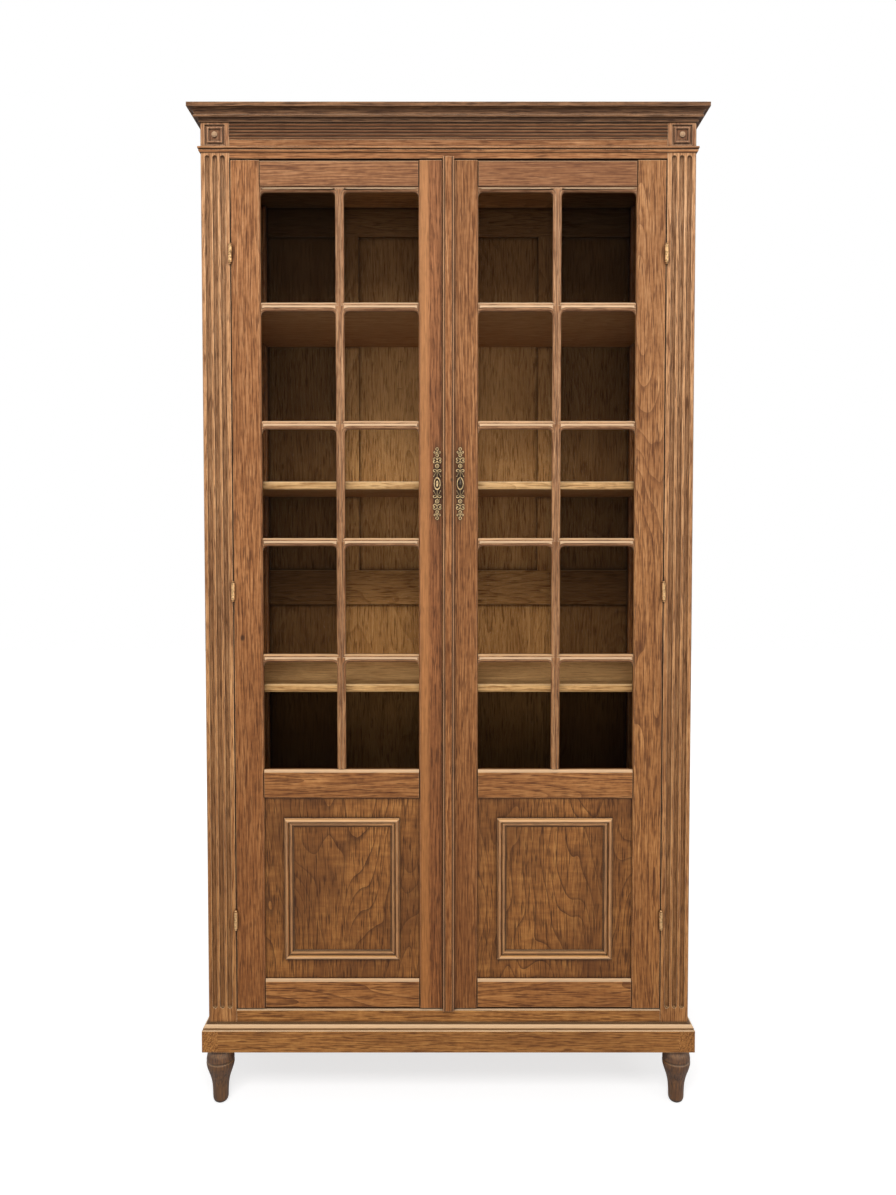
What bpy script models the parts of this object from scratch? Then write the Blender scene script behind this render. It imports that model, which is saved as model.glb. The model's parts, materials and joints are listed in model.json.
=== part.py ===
"""Oak display cabinet with two glazed doors, on four turned feet.

The cabinet stands on z = 0 with its front towards -Y. The origin is under the
middle of its overall box. Sizes are in metres. Depths are measured backwards
from FACE, the plane of the post fronts and the door fronts.
"""

import math

import bmesh
import bpy

# Overall carcass
HALF_WIDTH = 0.550
CARCASS_DEPTH = 0.470
FOOT_HEIGHT = 0.132
PLINTH_HEIGHT = 0.064
SILL_HEIGHT = 0.030
DOOR_HEIGHT = 1.9155
RAIL_BELOW_NECKING = 0.013
NECKING_HEIGHT = 0.012
BLOCK_HEIGHT = 0.0535
CORNICE_HEIGHT = 0.034
CORNICE_OUT = 0.024
CORNICE_CAP = 0.0097
CORNICE_INNER = 0.032
NECKING_OUT = 0.0053
PLINTH_OUT = 0.013

# Clearances
SEAT = 0.0003
DOOR_BOTTOM_GAP = 0.0025
DOOR_TOP_GAP = 0.0035
HINGE_GAP = 0.0024
MEETING_GAP = 0.0025
STRIP_GAP = 0.0012

# Posts and sides
POST_WIDTH = 0.064
POST_DEPTH = 0.040
POST_ARRIS = 0.0025
REAR_POST_WIDTH = 0.056
SIDE_THICK = 0.024
SIDE_PANEL_THICK = 0.009
SIDE_BOTTOM_RAIL = 0.100
SIDE_TOP_RAIL = 0.140
GROOVE_DEPTH = 0.008
TENON_THICK = 0.008
TENON_LENGTH = 0.026
TENON_SHOULDER = 0.010
TENON_SETBACK = 0.008

# Flutes and carved blocks
FLUTE_COUNT = 3
FLUTE_PITCH = 0.017
FLUTE_RADIUS = 0.0055
FLUTE_TOP_MARGIN = 0.006
FLUTE_FOOT_MARGIN = 0.032
BLOCK_POCKET = 0.044
BLOCK_FRAME = 0.034
BLOCK_FIELD = 0.027
BLOCK_BOSS = 0.019
BLOCK_SUNK = 0.003
BOSS_PROUD = 0.0055

# Frieze
FRIEZE_THICK = 0.024
REED_COUNT = 5
REED_WIDTH = 0.0054
REED_ABOVE_NECKING = 0.0165
DOOR_STOP = 0.012
DOOR_STOP_GAP = 0.0023
DOOR_STOP_LIP = 0.010

# Doors
DOOR_THICK = 0.024
HINGE_STILE_WIDTH = 0.0646
MEETING_STILE_INNER = 0.0665
DOOR_TOP_RAIL = 0.0585
DOOR_MIDDLE_RAIL = 0.067
DOOR_BOTTOM_RAIL = 0.068
LOWER_PANEL_HEIGHT = 0.417
STILE_ARRIS = 0.003
RAIL_ARRIS = 0.003
CLOSING_BEVEL = 0.0012
STRIP_LEFT = 0.0125
STRIP_RIGHT = 0.013
STRIP_PROUD = 0.0075
STRIP_OVERLAP = 0.002
STRIP_BEAD = 0.004
STRIP_QUIRK = 0.0013

# Glazing
LIGHT_ROWS = 5
LIGHT_COLUMNS = 2
CROSS_BAR = 0.018
UPRIGHT_BAR = 0.019
LATTICE_TOP_STRIP = 0.0085
LATTICE_SETBACK = 0.002
LATTICE_THICK = 0.012
COVE_RADIUS = 0.010
BAR_BEVEL = 0.0035
GLASS_THICK = 0.003

# Door panels and the moulding planted on them
PANEL_THICK = 0.010
PANEL_SETBACK = 0.006
MOULDING_MARGIN = 0.045
MOULDING_WIDTH = 0.021
MOULDING_PROUD = 0.0095

# Back
BACK_THICK = 0.022
BACK_REBATE = 0.010
BACK_PANEL_THICK = 0.009
BACK_TOP_RAIL = 0.126
BACK_MIDDLE_RAIL = 0.094
BACK_MIDDLE_Z = 1.123
BACK_BOTTOM_RAIL = 0.110
BACK_MUNTIN = 0.060
BACK_MUNTIN_X = 0.275
BACK_STILE = 0.014

# Boards and shelves
BOARD_THICK = 0.018
CEILING_BELOW_TOP = 0.050
CEILING_TONGUE = 0.006
FLOOR_THICK = 0.022
FLOOR_RISE = 0.016
FLOOR_FRONT = 0.0263
SILL_DEPTH = 0.050
FLOOR_BATTEN = 0.040
SHELF_THICK = 0.018
SHELF_FRONT = 0.050
SHELF_ARRIS = 0.002
SHELF_NOTCHES = {"lower": 19, "middle": 42, "upper": 62}

# Racks
RACK_THICK = 0.018
RACK_WIDTH = 0.030
RACK_PITCH = 0.0204
RACK_TOOTH = 0.008
RACK_FOOT = 0.299
RACK_HEAD = 0.150
CLEAT_HEIGHT = 0.020

# Plinth and feet
PLINTH_WALL = 0.037
PLINTH_CORNER = 0.070
PLINTH_MOULDING = 0.015
FOOT_RADIUS = 0.0325
FOOT_INSET = 0.034
SILL_TENON = 0.020
SPIGOT_RADIUS = 0.010
SPIGOT_LENGTH = 0.040

# Hinges
BARREL_RADIUS = 0.0042
BARREL_PROUD = 0.0046
BARREL_HALF = 0.019
FINIAL_HEIGHT = 0.0045
PIN_RADIUS = 0.0019
PIN_LENGTH = 0.014
PIN_CLEARANCE = 0.0003
LEAF_THICK = 0.0012
LEAF_LENGTH = 0.020
LEAF_DEPTH = 0.0108
LEAF_MARGIN = 0.0015
HINGE_FROM_END = 0.206

# Lock, key, bolts and escutcheons
LOCK_ABOVE_DOOR_FOOT = 1.200
KEY_X = 0.0265
LOCK_HALF_HEIGHT = 0.032
LOCK_THICK = 0.011
LOCK_SETBACK = 0.0065
LOCK_REACH = 0.0483
LOCK_WALL = 0.002
KEY_BIT = 0.011
KEY_BIT_WIDTH = 0.0024
KEY_STEM = 0.0026
KEY_PROUD = 0.034
KEY_BOW = 0.0105
KEY_BOW_WIRE = 0.0016
BOLT_HEIGHT = 0.013
BOLT_TRAVEL = 0.009
STRIKE_DEPTH = 0.012
ROD_RADIUS = 0.0037
ROD_LENGTH = 0.120
ROD_FROM_EDGE = 0.0165
ROD_DEPTH = 0.0135
ROD_TRAVEL = 0.012
ROD_SHY = 0.001
ROD_KNOB_RADIUS = 0.0022
ROD_KNOB_REACH = 0.018
ROD_KNOB_UP = 0.018
ROD_SOCKET = 0.016
PLATE_HEIGHT = 0.163
PLATE_WIDTH = 0.0185
PLATE_THICK = 0.0014
PLATE_OPENING = 0.0031
LEFT_PLATE_X = 0.0252

# Levels worked out from the sizes above
PLINTH_TOP = FOOT_HEIGHT + PLINTH_HEIGHT
SILL_TOP = PLINTH_TOP + SILL_HEIGHT
DOOR_FOOT = SILL_TOP + DOOR_BOTTOM_GAP
DOOR_TOP = DOOR_FOOT + DOOR_HEIGHT
FRIEZE_FOOT = DOOR_TOP + DOOR_TOP_GAP
NECKING_FOOT = FRIEZE_FOOT + RAIL_BELOW_NECKING
NECKING_TOP = NECKING_FOOT + NECKING_HEIGHT
CORNICE_FOOT = NECKING_TOP + BLOCK_HEIGHT
TOTAL_HEIGHT = CORNICE_FOOT + CORNICE_HEIGHT
CARCASS_TOP = TOTAL_HEIGHT - CORNICE_CAP - SEAT
FLOOR_TOP = SILL_TOP + FLOOR_RISE
CEILING_TOP = CARCASS_TOP - CEILING_BELOW_TOP + BOARD_THICK
CEILING_FOOT = CEILING_TOP - BOARD_THICK
PANEL_FOOT = DOOR_FOOT + DOOR_BOTTOM_RAIL
PANEL_TOP = PANEL_FOOT + LOWER_PANEL_HEIGHT
LIGHTS_FOOT = PANEL_TOP + DOOR_MIDDLE_RAIL
LATTICE_TOP = DOOR_TOP - DOOR_TOP_RAIL
LOCK_Z = DOOR_FOOT + LOCK_ABOVE_DOOR_FOOT
BACK_MIDDLE_TOP = BACK_MIDDLE_Z + BACK_MIDDLE_RAIL
BACK_BOTTOM_TOP = PLINTH_TOP + BACK_BOTTOM_RAIL

# Places worked out from the sizes above
FACE = max(CORNICE_OUT, KEY_PROUD) - (max(CORNICE_OUT, KEY_PROUD) + CARCASS_DEPTH) / 2
REAR = FACE + CARCASS_DEPTH
POST_INNER = HALF_WIDTH - POST_WIDTH
REAR_POST_INNER = HALF_WIDTH - REAR_POST_WIDTH
REAR_POST_FRONT = REAR - POST_DEPTH
SIDE_INNER = HALF_WIDTH - SIDE_THICK
BACK_FRONT = REAR - BACK_THICK
DOOR_OUTER = POST_INNER - HINGE_GAP
HINGE_STILE_INNER = DOOR_OUTER - HINGE_STILE_WIDTH
HINGE_U = POST_INNER - HINGE_GAP / 2
HINGE_Y = FACE - BARREL_PROUD
LEFT_EDGE = STRIP_LEFT + STRIP_GAP
RIGHT_EDGE = MEETING_GAP - LEFT_EDGE
SHELF_BACK = BACK_FRONT - SEAT
HINGE_LEVELS = {
    "top": DOOR_TOP - HINGE_FROM_END,
    "middle": (DOOR_TOP + DOOR_FOOT) / 2,
    "bottom": DOOR_FOOT + HINGE_FROM_END,
}
SIDES = {"left": -1, "right": 1}
MEETING_EDGES = {"left": LEFT_EDGE, "right": RIGHT_EDGE}
ROD_X = -(LEFT_EDGE + ROD_FROM_EDGE)

# How finely round forms are faceted
REED_STEPS = 4
MOULDING_STEPS = 4
COVE_STEPS = 3
TURNING_SEGMENTS = 16
BARREL_SEGMENTS = 10
FLUTE_SEGMENTS = 12
FLUTE_END_STEPS = 3
BORE_SEGMENTS = 16
OPENING_SEGMENTS = 8
PLATE_STEPS = 32
OVERSHOOT = 0.001

# Finish: colour, roughness, metallic
FINISHES = {
    "oak": ((0.34, 0.18, 0.08, 1), 0.55, 0.0),
    "dark_oak": ((0.22, 0.11, 0.05, 1), 0.55, 0.0),
    "inner_oak": ((0.30, 0.20, 0.09, 1), 0.65, 0.0),
    "figured_oak": ((0.30, 0.18, 0.08, 1), 0.5, 0.0),
    "brass": ((0.42, 0.32, 0.16, 1), 0.42, 0.9),
    "steel": ((0.25, 0.24, 0.22, 1), 0.45, 0.9),
    "glass": ((0.85, 0.9, 0.88, 1), 0.05, 0.0),
}


# Building blocks


def blank(mesh_builder, name="blank"):
    """An object made from a bmesh, with its faces pointing outwards."""
    bmesh.ops.recalc_face_normals(mesh_builder, faces=mesh_builder.faces)
    mesh = bpy.data.meshes.new(name)
    mesh_builder.to_mesh(mesh)
    mesh_builder.free()
    piece = bpy.data.objects.new(name, mesh)
    bpy.context.scene.collection.objects.link(piece)
    return piece


def loft(rings):
    """A closed solid through rings of points, each with as many points as the next."""
    builder = bmesh.new()
    loops = [[builder.verts.new(point) for point in ring] for ring in rings]
    for lower, upper in zip(loops, loops[1:]):
        for i, corner in enumerate(lower):
            after = (i + 1) % len(lower)
            builder.faces.new((corner, lower[after], upper[after], upper[i]))
    builder.faces.new(loops[0])
    builder.faces.new(loops[-1])
    return blank(builder)


def prism(outline, axis, start, end):
    """An outline pushed along an axis. Its points are (y, z), (x, z) or (x, y) for X, Y or Z."""
    place = {
        "X": lambda a, b, along: (along, a, b),
        "Y": lambda a, b, along: (a, along, b),
        "Z": lambda a, b, along: (a, b, along),
    }[axis]
    return loft([[place(a, b, along) for a, b in outline] for along in (start, end)])


def box(x_range, y_range, z_range):
    """A rectangular block between three pairs of limits."""
    low_x, high_x = sorted(x_range)
    outline = [(low_x, y_range[0]), (high_x, y_range[0]), (high_x, y_range[1]), (low_x, y_range[1])]
    return prism(outline, "Z", *z_range)


def turned(profile, centre, axis="Z", segments=TURNING_SEGMENTS):
    """A solid of revolution: profile holds (radius, distance along the axis) from end to end."""
    rings = []
    for radius, along in profile:
        ring = []
        for i in range(segments):
            angle = 2 * math.pi * (i + 0.5) / segments
            a, b = radius * math.cos(angle), radius * math.sin(angle)
            offset = (a, b, along) if axis == "Z" else (a, along, b)
            ring.append([c + o for c, o in zip(centre, offset)])
        rings.append(ring)
    return loft(rings)


def rod(centre, radius, start, end, axis="Z", segments=BORE_SEGMENTS):
    """A plain round rod or bore along one axis."""
    return turned([(radius, start), (radius, end)], centre, axis, segments)


def wrap(section, half_width, front, back):
    """A moulding carried round the front and both sides: section holds (outwards, z) points."""
    rings = []
    for side in (-1, 1):
        at_back = [(side * (half_width + out), back, z) for out, z in section]
        at_front = [(side * (half_width + out), front - out, z) for out, z in section]
        rings += [at_back, at_front] if side < 0 else [at_front, at_back]
    return loft(rings)


def arc(centre, radius, start_degrees, end_degrees, steps):
    """Points of a circular arc in a plane, both ends included."""
    points = []
    for i in range(steps + 1):
        angle = math.radians(start_degrees + (end_degrees - start_degrees) * i / steps)
        points.append((centre[0] + radius * math.cos(angle), centre[1] + radius * math.sin(angle)))
    return points


def combine(base, tool, operation):
    """Apply an exact boolean to base with tool, and remove tool."""
    step = base.modifiers.new("step", "BOOLEAN")
    step.operation = operation
    step.solver = "EXACT"
    step.object = tool
    bpy.context.view_layer.update()
    shaped = bpy.data.meshes.new_from_object(base.evaluated_get(bpy.context.evaluated_depsgraph_get()))
    before = base.data
    base.modifiers.clear()
    base.data = shaped
    bpy.data.meshes.remove(before)
    bpy.data.objects.remove(tool)
    return base


def gather(pieces):
    """Put solids that lie apart from each other into one object."""
    builder = bmesh.new()
    for piece in pieces:
        builder.from_mesh(piece.data)
        bpy.data.objects.remove(piece)
    return blank(builder)


def cut(base, *tools):
    """Take the tools' shapes out of base. The tools don't touch each other."""
    return combine(base, gather(tools), "DIFFERENCE")


def join(base, *tools):
    """Fuse the tools' shapes to base. The tools don't touch each other."""
    return combine(base, gather(tools), "UNION")


def finish(piece, name, look, smooth=False):
    """Name a finished piece and give it its own material."""
    piece.name = name
    piece.data.name = name
    colour, roughness, metallic = FINISHES[look]
    material = bpy.data.materials.new(name)
    material.use_nodes = True
    shader = material.node_tree.nodes["Principled BSDF"]
    shader.inputs["Base Color"].default_value = colour
    shader.inputs["Roughness"].default_value = roughness
    shader.inputs["Metallic"].default_value = metallic
    piece.data.materials.clear()
    piece.data.materials.append(material)
    if smooth:
        piece.data.shade_smooth()
        piece.data.set_sharp_from_angle(angle=math.radians(35))
    return piece


def pivot(name, place, parent=None):
    """An empty on a joint's axis, which carries what moves about it."""
    empty = bpy.data.objects.new(name, None)
    empty.location = place
    empty["place"] = place
    if parent:
        empty.parent = parent
        empty.location = [a - b for a, b in zip(place, parent["place"])]
    bpy.context.scene.collection.objects.link(empty)
    return empty


def carry(empty, *pieces):
    """Parent pieces to an empty and leave them where they are."""
    for piece in pieces:
        piece.parent = empty
        piece.location = [-value for value in empty["place"]]


# Carcass


def side_rail_levels():
    """Bottom and top of the three rails of a side."""
    return (
        (PLINTH_TOP + SEAT, PLINTH_TOP + SIDE_BOTTOM_RAIL),
        (PANEL_TOP, LIGHTS_FOOT),
        (CARCASS_TOP - SIDE_TOP_RAIL, CARCASS_TOP),
    )


def side_panel_span():
    """Bottom and top of a side panel, which runs behind the middle rail."""
    levels = side_rail_levels()
    return levels[0][1] - GROOVE_DEPTH, levels[-1][0] + GROOVE_DEPTH


def hinge_slot(side, level, towards, lower):
    """The mortise for one hinge leaf, on the post (towards 1) or in the door (towards -1)."""
    start = side * (HINGE_U - towards * LEAF_THICK / 2)
    end = side * (HINGE_U + towards * (LEAF_LENGTH + SEAT))
    up = -1 if lower else 1
    z_range = (level + up * (LEAF_MARGIN - SEAT), level + up * (BARREL_HALF - LEAF_MARGIN + SEAT))
    y_range = (FACE + LEAF_DEPTH - SEAT, FACE + LEAF_DEPTH + LEAF_THICK + SEAT)
    return box((start, end), y_range, z_range)


def square_pyramid(side, centre_u, centre_z):
    """The boss in the middle of a carved block."""
    half = BLOCK_BOSS / 2
    tip = half / 5
    rings = []
    for size, depth in ((half, BLOCK_SUNK + OVERSHOOT), (half, BLOCK_SUNK), (tip, BLOCK_SUNK - BOSS_PROUD)):
        corners = ((-1, -1), (1, -1), (1, 1), (-1, 1))
        rings.append([(side * centre_u + a * size, FACE + depth, centre_z + b * size) for a, b in corners])
    return loft(rings)


def square_block(side, centre_u, centre_z, size, depth):
    """A square cutter centred on a carved block, sunk to a depth behind the face."""
    centre = side * centre_u
    half = size / 2
    z_range = (centre_z - half, centre_z + half)
    return box((centre - half, centre + half), (FACE - OVERSHOOT, FACE + depth), z_range)


def flute(centre_x):
    """A capsule on the post's face, which cuts one stopped flute."""
    low = PLINTH_TOP + FLUTE_FOOT_MARGIN
    high = NECKING_FOOT - FLUTE_TOP_MARGIN
    tip = FLUTE_RADIUS / 6
    foot_arc = arc((0, low + FLUTE_RADIUS), FLUTE_RADIUS, -80, 0, FLUTE_END_STEPS)
    head_arc = arc((0, high - FLUTE_RADIUS), FLUTE_RADIUS, 0, 80, FLUTE_END_STEPS)
    profile = [(tip, low)] + foot_arc[1:] + head_arc[:-1] + [(tip, high)]
    return turned(profile, (centre_x, FACE, 0), "Z", FLUTE_SEGMENTS)


def front_post(name, side):
    """A front post with its flutes, its carved block, and the mortises for rails, panel and hinges."""
    outline = [
        (side * POST_INNER, FACE),
        (side * (HALF_WIDTH - POST_ARRIS), FACE),
        (side * HALF_WIDTH, FACE + POST_ARRIS),
        (side * HALF_WIDTH, FACE + POST_DEPTH),
        (side * POST_INNER, FACE + POST_DEPTH),
    ]
    post = prism(outline, "Z", PLINTH_TOP + SEAT, CARCASS_TOP)
    centre_u = (POST_INNER + HALF_WIDTH) / 2
    offsets = [(i - (FLUTE_COUNT - 1) / 2) * FLUTE_PITCH for i in range(FLUTE_COUNT)]
    cut(post, *[flute(side * centre_u + offset) for offset in offsets])
    centre_z = NECKING_TOP + BLOCK_HEIGHT / 2
    pocket = square_block(side, centre_u, centre_z, BLOCK_POCKET, BLOCK_SUNK)
    cut(pocket, square_block(side, centre_u, centre_z, BLOCK_FRAME, BLOCK_SUNK + OVERSHOOT))
    cut(post, pocket, square_block(side, centre_u, centre_z, BLOCK_FIELD, BLOCK_SUNK))
    join(post, square_pyramid(side, centre_u, centre_z))
    back = FACE + POST_DEPTH
    tenon_y = (back - TENON_LENGTH - SEAT, back + OVERSHOOT)
    cut(post, *[side_tenon(side, levels, tenon_y, SEAT) for levels in side_rail_levels()])
    groove_x = (side * (SIDE_INNER - SEAT), side * (SIDE_INNER + SIDE_PANEL_THICK + SEAT))
    cut(post, box(groove_x, (back - GROOVE_DEPTH, back + OVERSHOOT), side_panel_span()))
    slots = [hinge_slot(side, level, 1, True) for level in HINGE_LEVELS.values()]
    mortises = [front_tenon(side, levels, SEAT) for levels in (frieze_tenon_levels(), sill_tenon_levels())]
    cut(post, *slots, *mortises)
    return finish(post, name, "oak")


def frieze_tenon_levels():
    """Bottom and top of the frieze rail's tenons."""
    return FRIEZE_FOOT + TENON_SHOULDER, CARCASS_TOP - TENON_SHOULDER


def sill_tenon_levels():
    """Bottom and top of the sill's tenons."""
    middle = PLINTH_TOP + SILL_HEIGHT / 2
    return middle - SILL_TENON / 2, middle + SILL_TENON / 2


def front_tenon(side, levels, clearance):
    """The tenon of the frieze rail or the sill, or with a clearance its mortise in the post."""
    shoulder = POST_INNER - SEAT
    x_range = (side * (shoulder - OVERSHOOT), side * (shoulder + TENON_LENGTH + clearance))
    y_range = (FACE + TENON_SETBACK - clearance, FACE + TENON_SETBACK + TENON_THICK + clearance)
    return box(x_range, y_range, (levels[0] - clearance, levels[1] + clearance))


def side_tenon(side, levels, y_range, clearance):
    """The tenon of a side rail, or with a clearance the mortise for it."""
    middle = (SIDE_INNER + SIDE_PANEL_THICK + HALF_WIDTH) / 2
    half = TENON_THICK / 2 + clearance
    z_range = (levels[0] + TENON_SHOULDER - clearance, levels[1] - TENON_SHOULDER + clearance)
    return box((side * (middle - half), side * (middle + half)), y_range, z_range)


def side_frame(name, side):
    """A rear post with the three rails of its side, which are glued into one frame."""
    post_x = (side * REAR_POST_INNER, side * HALF_WIDTH)
    frame = box(post_x, (REAR_POST_FRONT, REAR), (PLINTH_TOP + SEAT, CARCASS_TOP))
    front = FACE + POST_DEPTH + SEAT
    rails = []
    for levels in side_rail_levels():
        rail = box((side * SIDE_INNER, side * HALF_WIDTH), (front, REAR_POST_FRONT + OVERSHOOT), levels)
        rails.append(join(rail, side_tenon(side, levels, (front - TENON_LENGTH, front + OVERSHOOT), 0)))
    join(frame, *rails)
    groove_x = (side * (SIDE_INNER - SEAT), side * (SIDE_INNER + SIDE_PANEL_THICK + SEAT))
    cut(frame, box(groove_x, (front - OVERSHOOT, REAR_POST_FRONT + GROOVE_DEPTH), side_panel_span()))
    corner_x = (side * (REAR_POST_INNER - OVERSHOOT), side * (REAR_POST_INNER + BACK_STILE))
    cut(frame, box(corner_x, (BACK_FRONT - SEAT, REAR + OVERSHOOT), (PLINTH_TOP, CARCASS_TOP + OVERSHOOT)))
    return finish(frame, name, "oak")


def side_panel(name, side):
    """The board that fills a side, held in grooves all round."""
    low, high = side_panel_span()
    x_range = (side * SIDE_INNER, side * (SIDE_INNER + SIDE_PANEL_THICK))
    front = FACE + POST_DEPTH - GROOVE_DEPTH + SEAT
    back = REAR_POST_FRONT + GROOVE_DEPTH - SEAT
    return finish(box(x_range, (front, back), (low + SEAT, high - SEAT)), name, "oak")


def back_frame():
    """The framed back: two muntins above, one wide opening below, rebated for its panels from behind."""
    half = REAR_POST_INNER + BACK_STILE - SEAT
    frame = box((-half, half), (BACK_FRONT, REAR), (PLINTH_TOP + SEAT, CARCASS_TOP))
    through = (BACK_FRONT - OVERSHOOT, REAR + OVERSHOOT)
    upper = (BACK_MIDDLE_TOP, CARCASS_TOP - BACK_TOP_RAIL)
    lower = (BACK_BOTTOM_TOP, BACK_MIDDLE_Z)
    inner = BACK_MUNTIN_X - BACK_MUNTIN / 2
    outer = BACK_MUNTIN_X + BACK_MUNTIN / 2
    fields = ((-REAR_POST_INNER, -outer), (-inner, inner), (outer, REAR_POST_INNER))
    openings = [box(x_range, through, upper) for x_range in fields]
    cut(frame, *openings, box((-REAR_POST_INNER, REAR_POST_INNER), through, lower))
    rebate_y = (REAR - BACK_REBATE, REAR + OVERSHOOT)
    cut(frame, *[back_panel_space(levels, 0, rebate_y) for levels in (upper, lower)])
    return finish(frame, "back_frame", "inner_oak")


def back_panel_space(levels, clearance, y_range):
    """The rebate for a back panel, or with a clearance the panel itself."""
    half = REAR_POST_INNER + BACK_STILE / 2 - clearance
    lap = GROOVE_DEPTH - clearance
    return box((-half, half), y_range, (levels[0] - lap, levels[1] + lap))


def back_panels():
    """The two boards let into the back from behind."""
    y_range = (REAR - BACK_REBATE + SEAT, REAR - BACK_REBATE + SEAT + BACK_PANEL_THICK)
    upper = (BACK_MIDDLE_TOP, CARCASS_TOP - BACK_TOP_RAIL)
    lower = (BACK_BOTTOM_TOP, BACK_MIDDLE_Z)
    finish(back_panel_space(upper, SEAT, y_range), "back_upper_panel", "inner_oak")
    finish(back_panel_space(lower, SEAT, y_range), "back_lower_panel", "inner_oak")


def board_outline(front, back):
    """The outline of a board between the sides, notched round the four posts."""
    wide = SIDE_INNER - SEAT
    notch_front = FACE + POST_DEPTH + SEAT
    notch_back = REAR_POST_FRONT - SEAT
    right = [
        (POST_INNER - SEAT, front),
        (POST_INNER - SEAT, notch_front),
        (wide, notch_front),
        (wide, notch_back),
        (REAR_POST_INNER - SEAT, notch_back),
        (REAR_POST_INNER - SEAT, back),
    ]
    return right + [(-x, y) for x, y in reversed(right)]


def top_board():
    """The ceiling board, whose front edge sits in a groove of the frieze rail."""
    front = frieze_back() - CEILING_TONGUE + SEAT
    outline = board_outline(front, BACK_FRONT - SEAT)
    return finish(prism(outline, "Z", CEILING_FOOT, CEILING_TOP), "top_board", "inner_oak")


def floor_board():
    """The cabinet's floor, with the sill rail at its front and a batten under its back."""
    outline = board_outline(FACE + FLOOR_FRONT, BACK_FRONT - SEAT)
    board = prism(outline, "Z", FLOOR_TOP - FLOOR_THICK, FLOOR_TOP)
    half = POST_INNER - SEAT
    sill = prism(
        [
            (FACE, PLINTH_TOP + SEAT),
            (FACE, SILL_TOP - RAIL_ARRIS),
            (FACE + RAIL_ARRIS, SILL_TOP),
            (FACE + SILL_DEPTH, SILL_TOP),
            (FACE + SILL_DEPTH, PLINTH_TOP + SEAT),
        ],
        "X",
        -half,
        half,
    )
    batten_half = REAR_POST_INNER - SEAT
    batten_y = (BACK_FRONT - SEAT - FLOOR_BATTEN, BACK_FRONT - SEAT)
    batten = box((-batten_half, batten_half), batten_y, (PLINTH_TOP + SEAT, SILL_TOP))
    join(board, sill, batten)
    join(board, *[front_tenon(side, sill_tenon_levels(), 0) for side in SIDES.values()])
    centre = (ROD_X, FACE + ROD_DEPTH, 0)
    cut(board, rod(centre, ROD_RADIUS + 2 * SEAT, SILL_TOP - ROD_SOCKET, SILL_TOP + OVERSHOOT))
    return finish(board, "floor_board", "inner_oak")


# Front mouldings


def frieze_back():
    """The plane of the frieze rail's back, behind the stop that the doors close against."""
    return FACE + FRIEZE_THICK + DOOR_STOP


def reeds(foot):
    """The outline of the reeds from foot upwards: half rounds side by side, flush with the face."""
    radius = REED_WIDTH / 2
    points = []
    for i in range(REED_COUNT):
        centre = (FACE + radius, foot + (i + 0.5) * REED_WIDTH)
        points += arc(centre, radius, 270, 90, 2 * REED_STEPS)[0 if i == 0 else 1 :]
    return points


def frieze_rail():
    """The rail over the doors, with its reeds, the door stop behind, and the ceiling's groove."""
    stop = FACE + DOOR_THICK + DOOR_STOP_GAP
    reeds_foot = NECKING_TOP + REED_ABOVE_NECKING
    outline = [(FACE, FRIEZE_FOOT), (FACE, reeds_foot)]
    outline += reeds(reeds_foot)
    outline += [
        (FACE, reeds_foot + REED_COUNT * REED_WIDTH),
        (FACE, CARCASS_TOP),
        (frieze_back(), CARCASS_TOP),
        (frieze_back(), FRIEZE_FOOT - DOOR_STOP_LIP),
        (stop, FRIEZE_FOOT - DOOR_STOP_LIP),
        (stop, FRIEZE_FOOT),
    ]
    half = POST_INNER - SEAT
    rail = prism(outline, "X", -half, half)
    join(rail, *[front_tenon(side, frieze_tenon_levels(), 0) for side in SIDES.values()])
    groove_y = (frieze_back() - CEILING_TONGUE, frieze_back() + OVERSHOOT)
    cut(rail, box((-HALF_WIDTH, HALF_WIDTH), groove_y, (CEILING_FOOT - SEAT, CEILING_TOP + SEAT)))
    centre = (ROD_X, FACE + ROD_DEPTH, 0)
    cut(rail, rod(centre, ROD_RADIUS + 2 * SEAT, FRIEZE_FOOT - OVERSHOOT, FRIEZE_FOOT + ROD_SOCKET))
    return finish(rail, "frieze_rail", "oak")


def cornice():
    """The cornice: a cap fillet, a deep cavetto, then two fillets with a small cove between."""
    foot = CORNICE_FOOT
    top = TOTAL_HEIGHT
    small = CORNICE_OUT / 8
    cavetto = CORNICE_OUT / 2
    cavetto_foot = foot + CORNICE_HEIGHT - 3 * small - cavetto
    section = [(SEAT, foot), (small, foot), (small, foot + 1.5 * small)]
    section += arc((2 * small, foot + 1.5 * small), small, 180, 90, MOULDING_STEPS // 2)[1:]
    cavetto_in = CORNICE_OUT - small / 2 - cavetto
    fillet = cavetto_in + small / 2
    section += [(fillet, foot + 2.5 * small), (fillet, cavetto_foot - small / 4)]
    section += arc((CORNICE_OUT - small / 2, cavetto_foot), cavetto, 180, 90, MOULDING_STEPS)
    section += [
        (CORNICE_OUT, cavetto_foot + cavetto),
        (CORNICE_OUT, top),
        (-CORNICE_INNER, top),
        (-CORNICE_INNER, top - CORNICE_CAP),
        (SEAT, top - CORNICE_CAP),
    ]
    return finish(wrap(section, HALF_WIDTH, FACE, REAR), "cornice", "dark_oak")


def necking():
    """The small moulding under the frieze: two fillets with a quirk between, over a bevel."""
    foot, top, out = NECKING_FOOT, NECKING_TOP, NECKING_OUT
    step = NECKING_HEIGHT / 6
    section = [
        (SEAT, foot),
        (out / 3, foot),
        (out * 2 / 3, foot + 1.5 * step),
        (out * 2 / 3, foot + 2.7 * step),
        (out / 3, foot + 3 * step),
        (out / 3, foot + 3.4 * step),
        (out, foot + 4 * step),
        (out, top),
        (SEAT, top),
    ]
    return finish(wrap(section, HALF_WIDTH, FACE, REAR), "necking_moulding", "oak")


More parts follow.
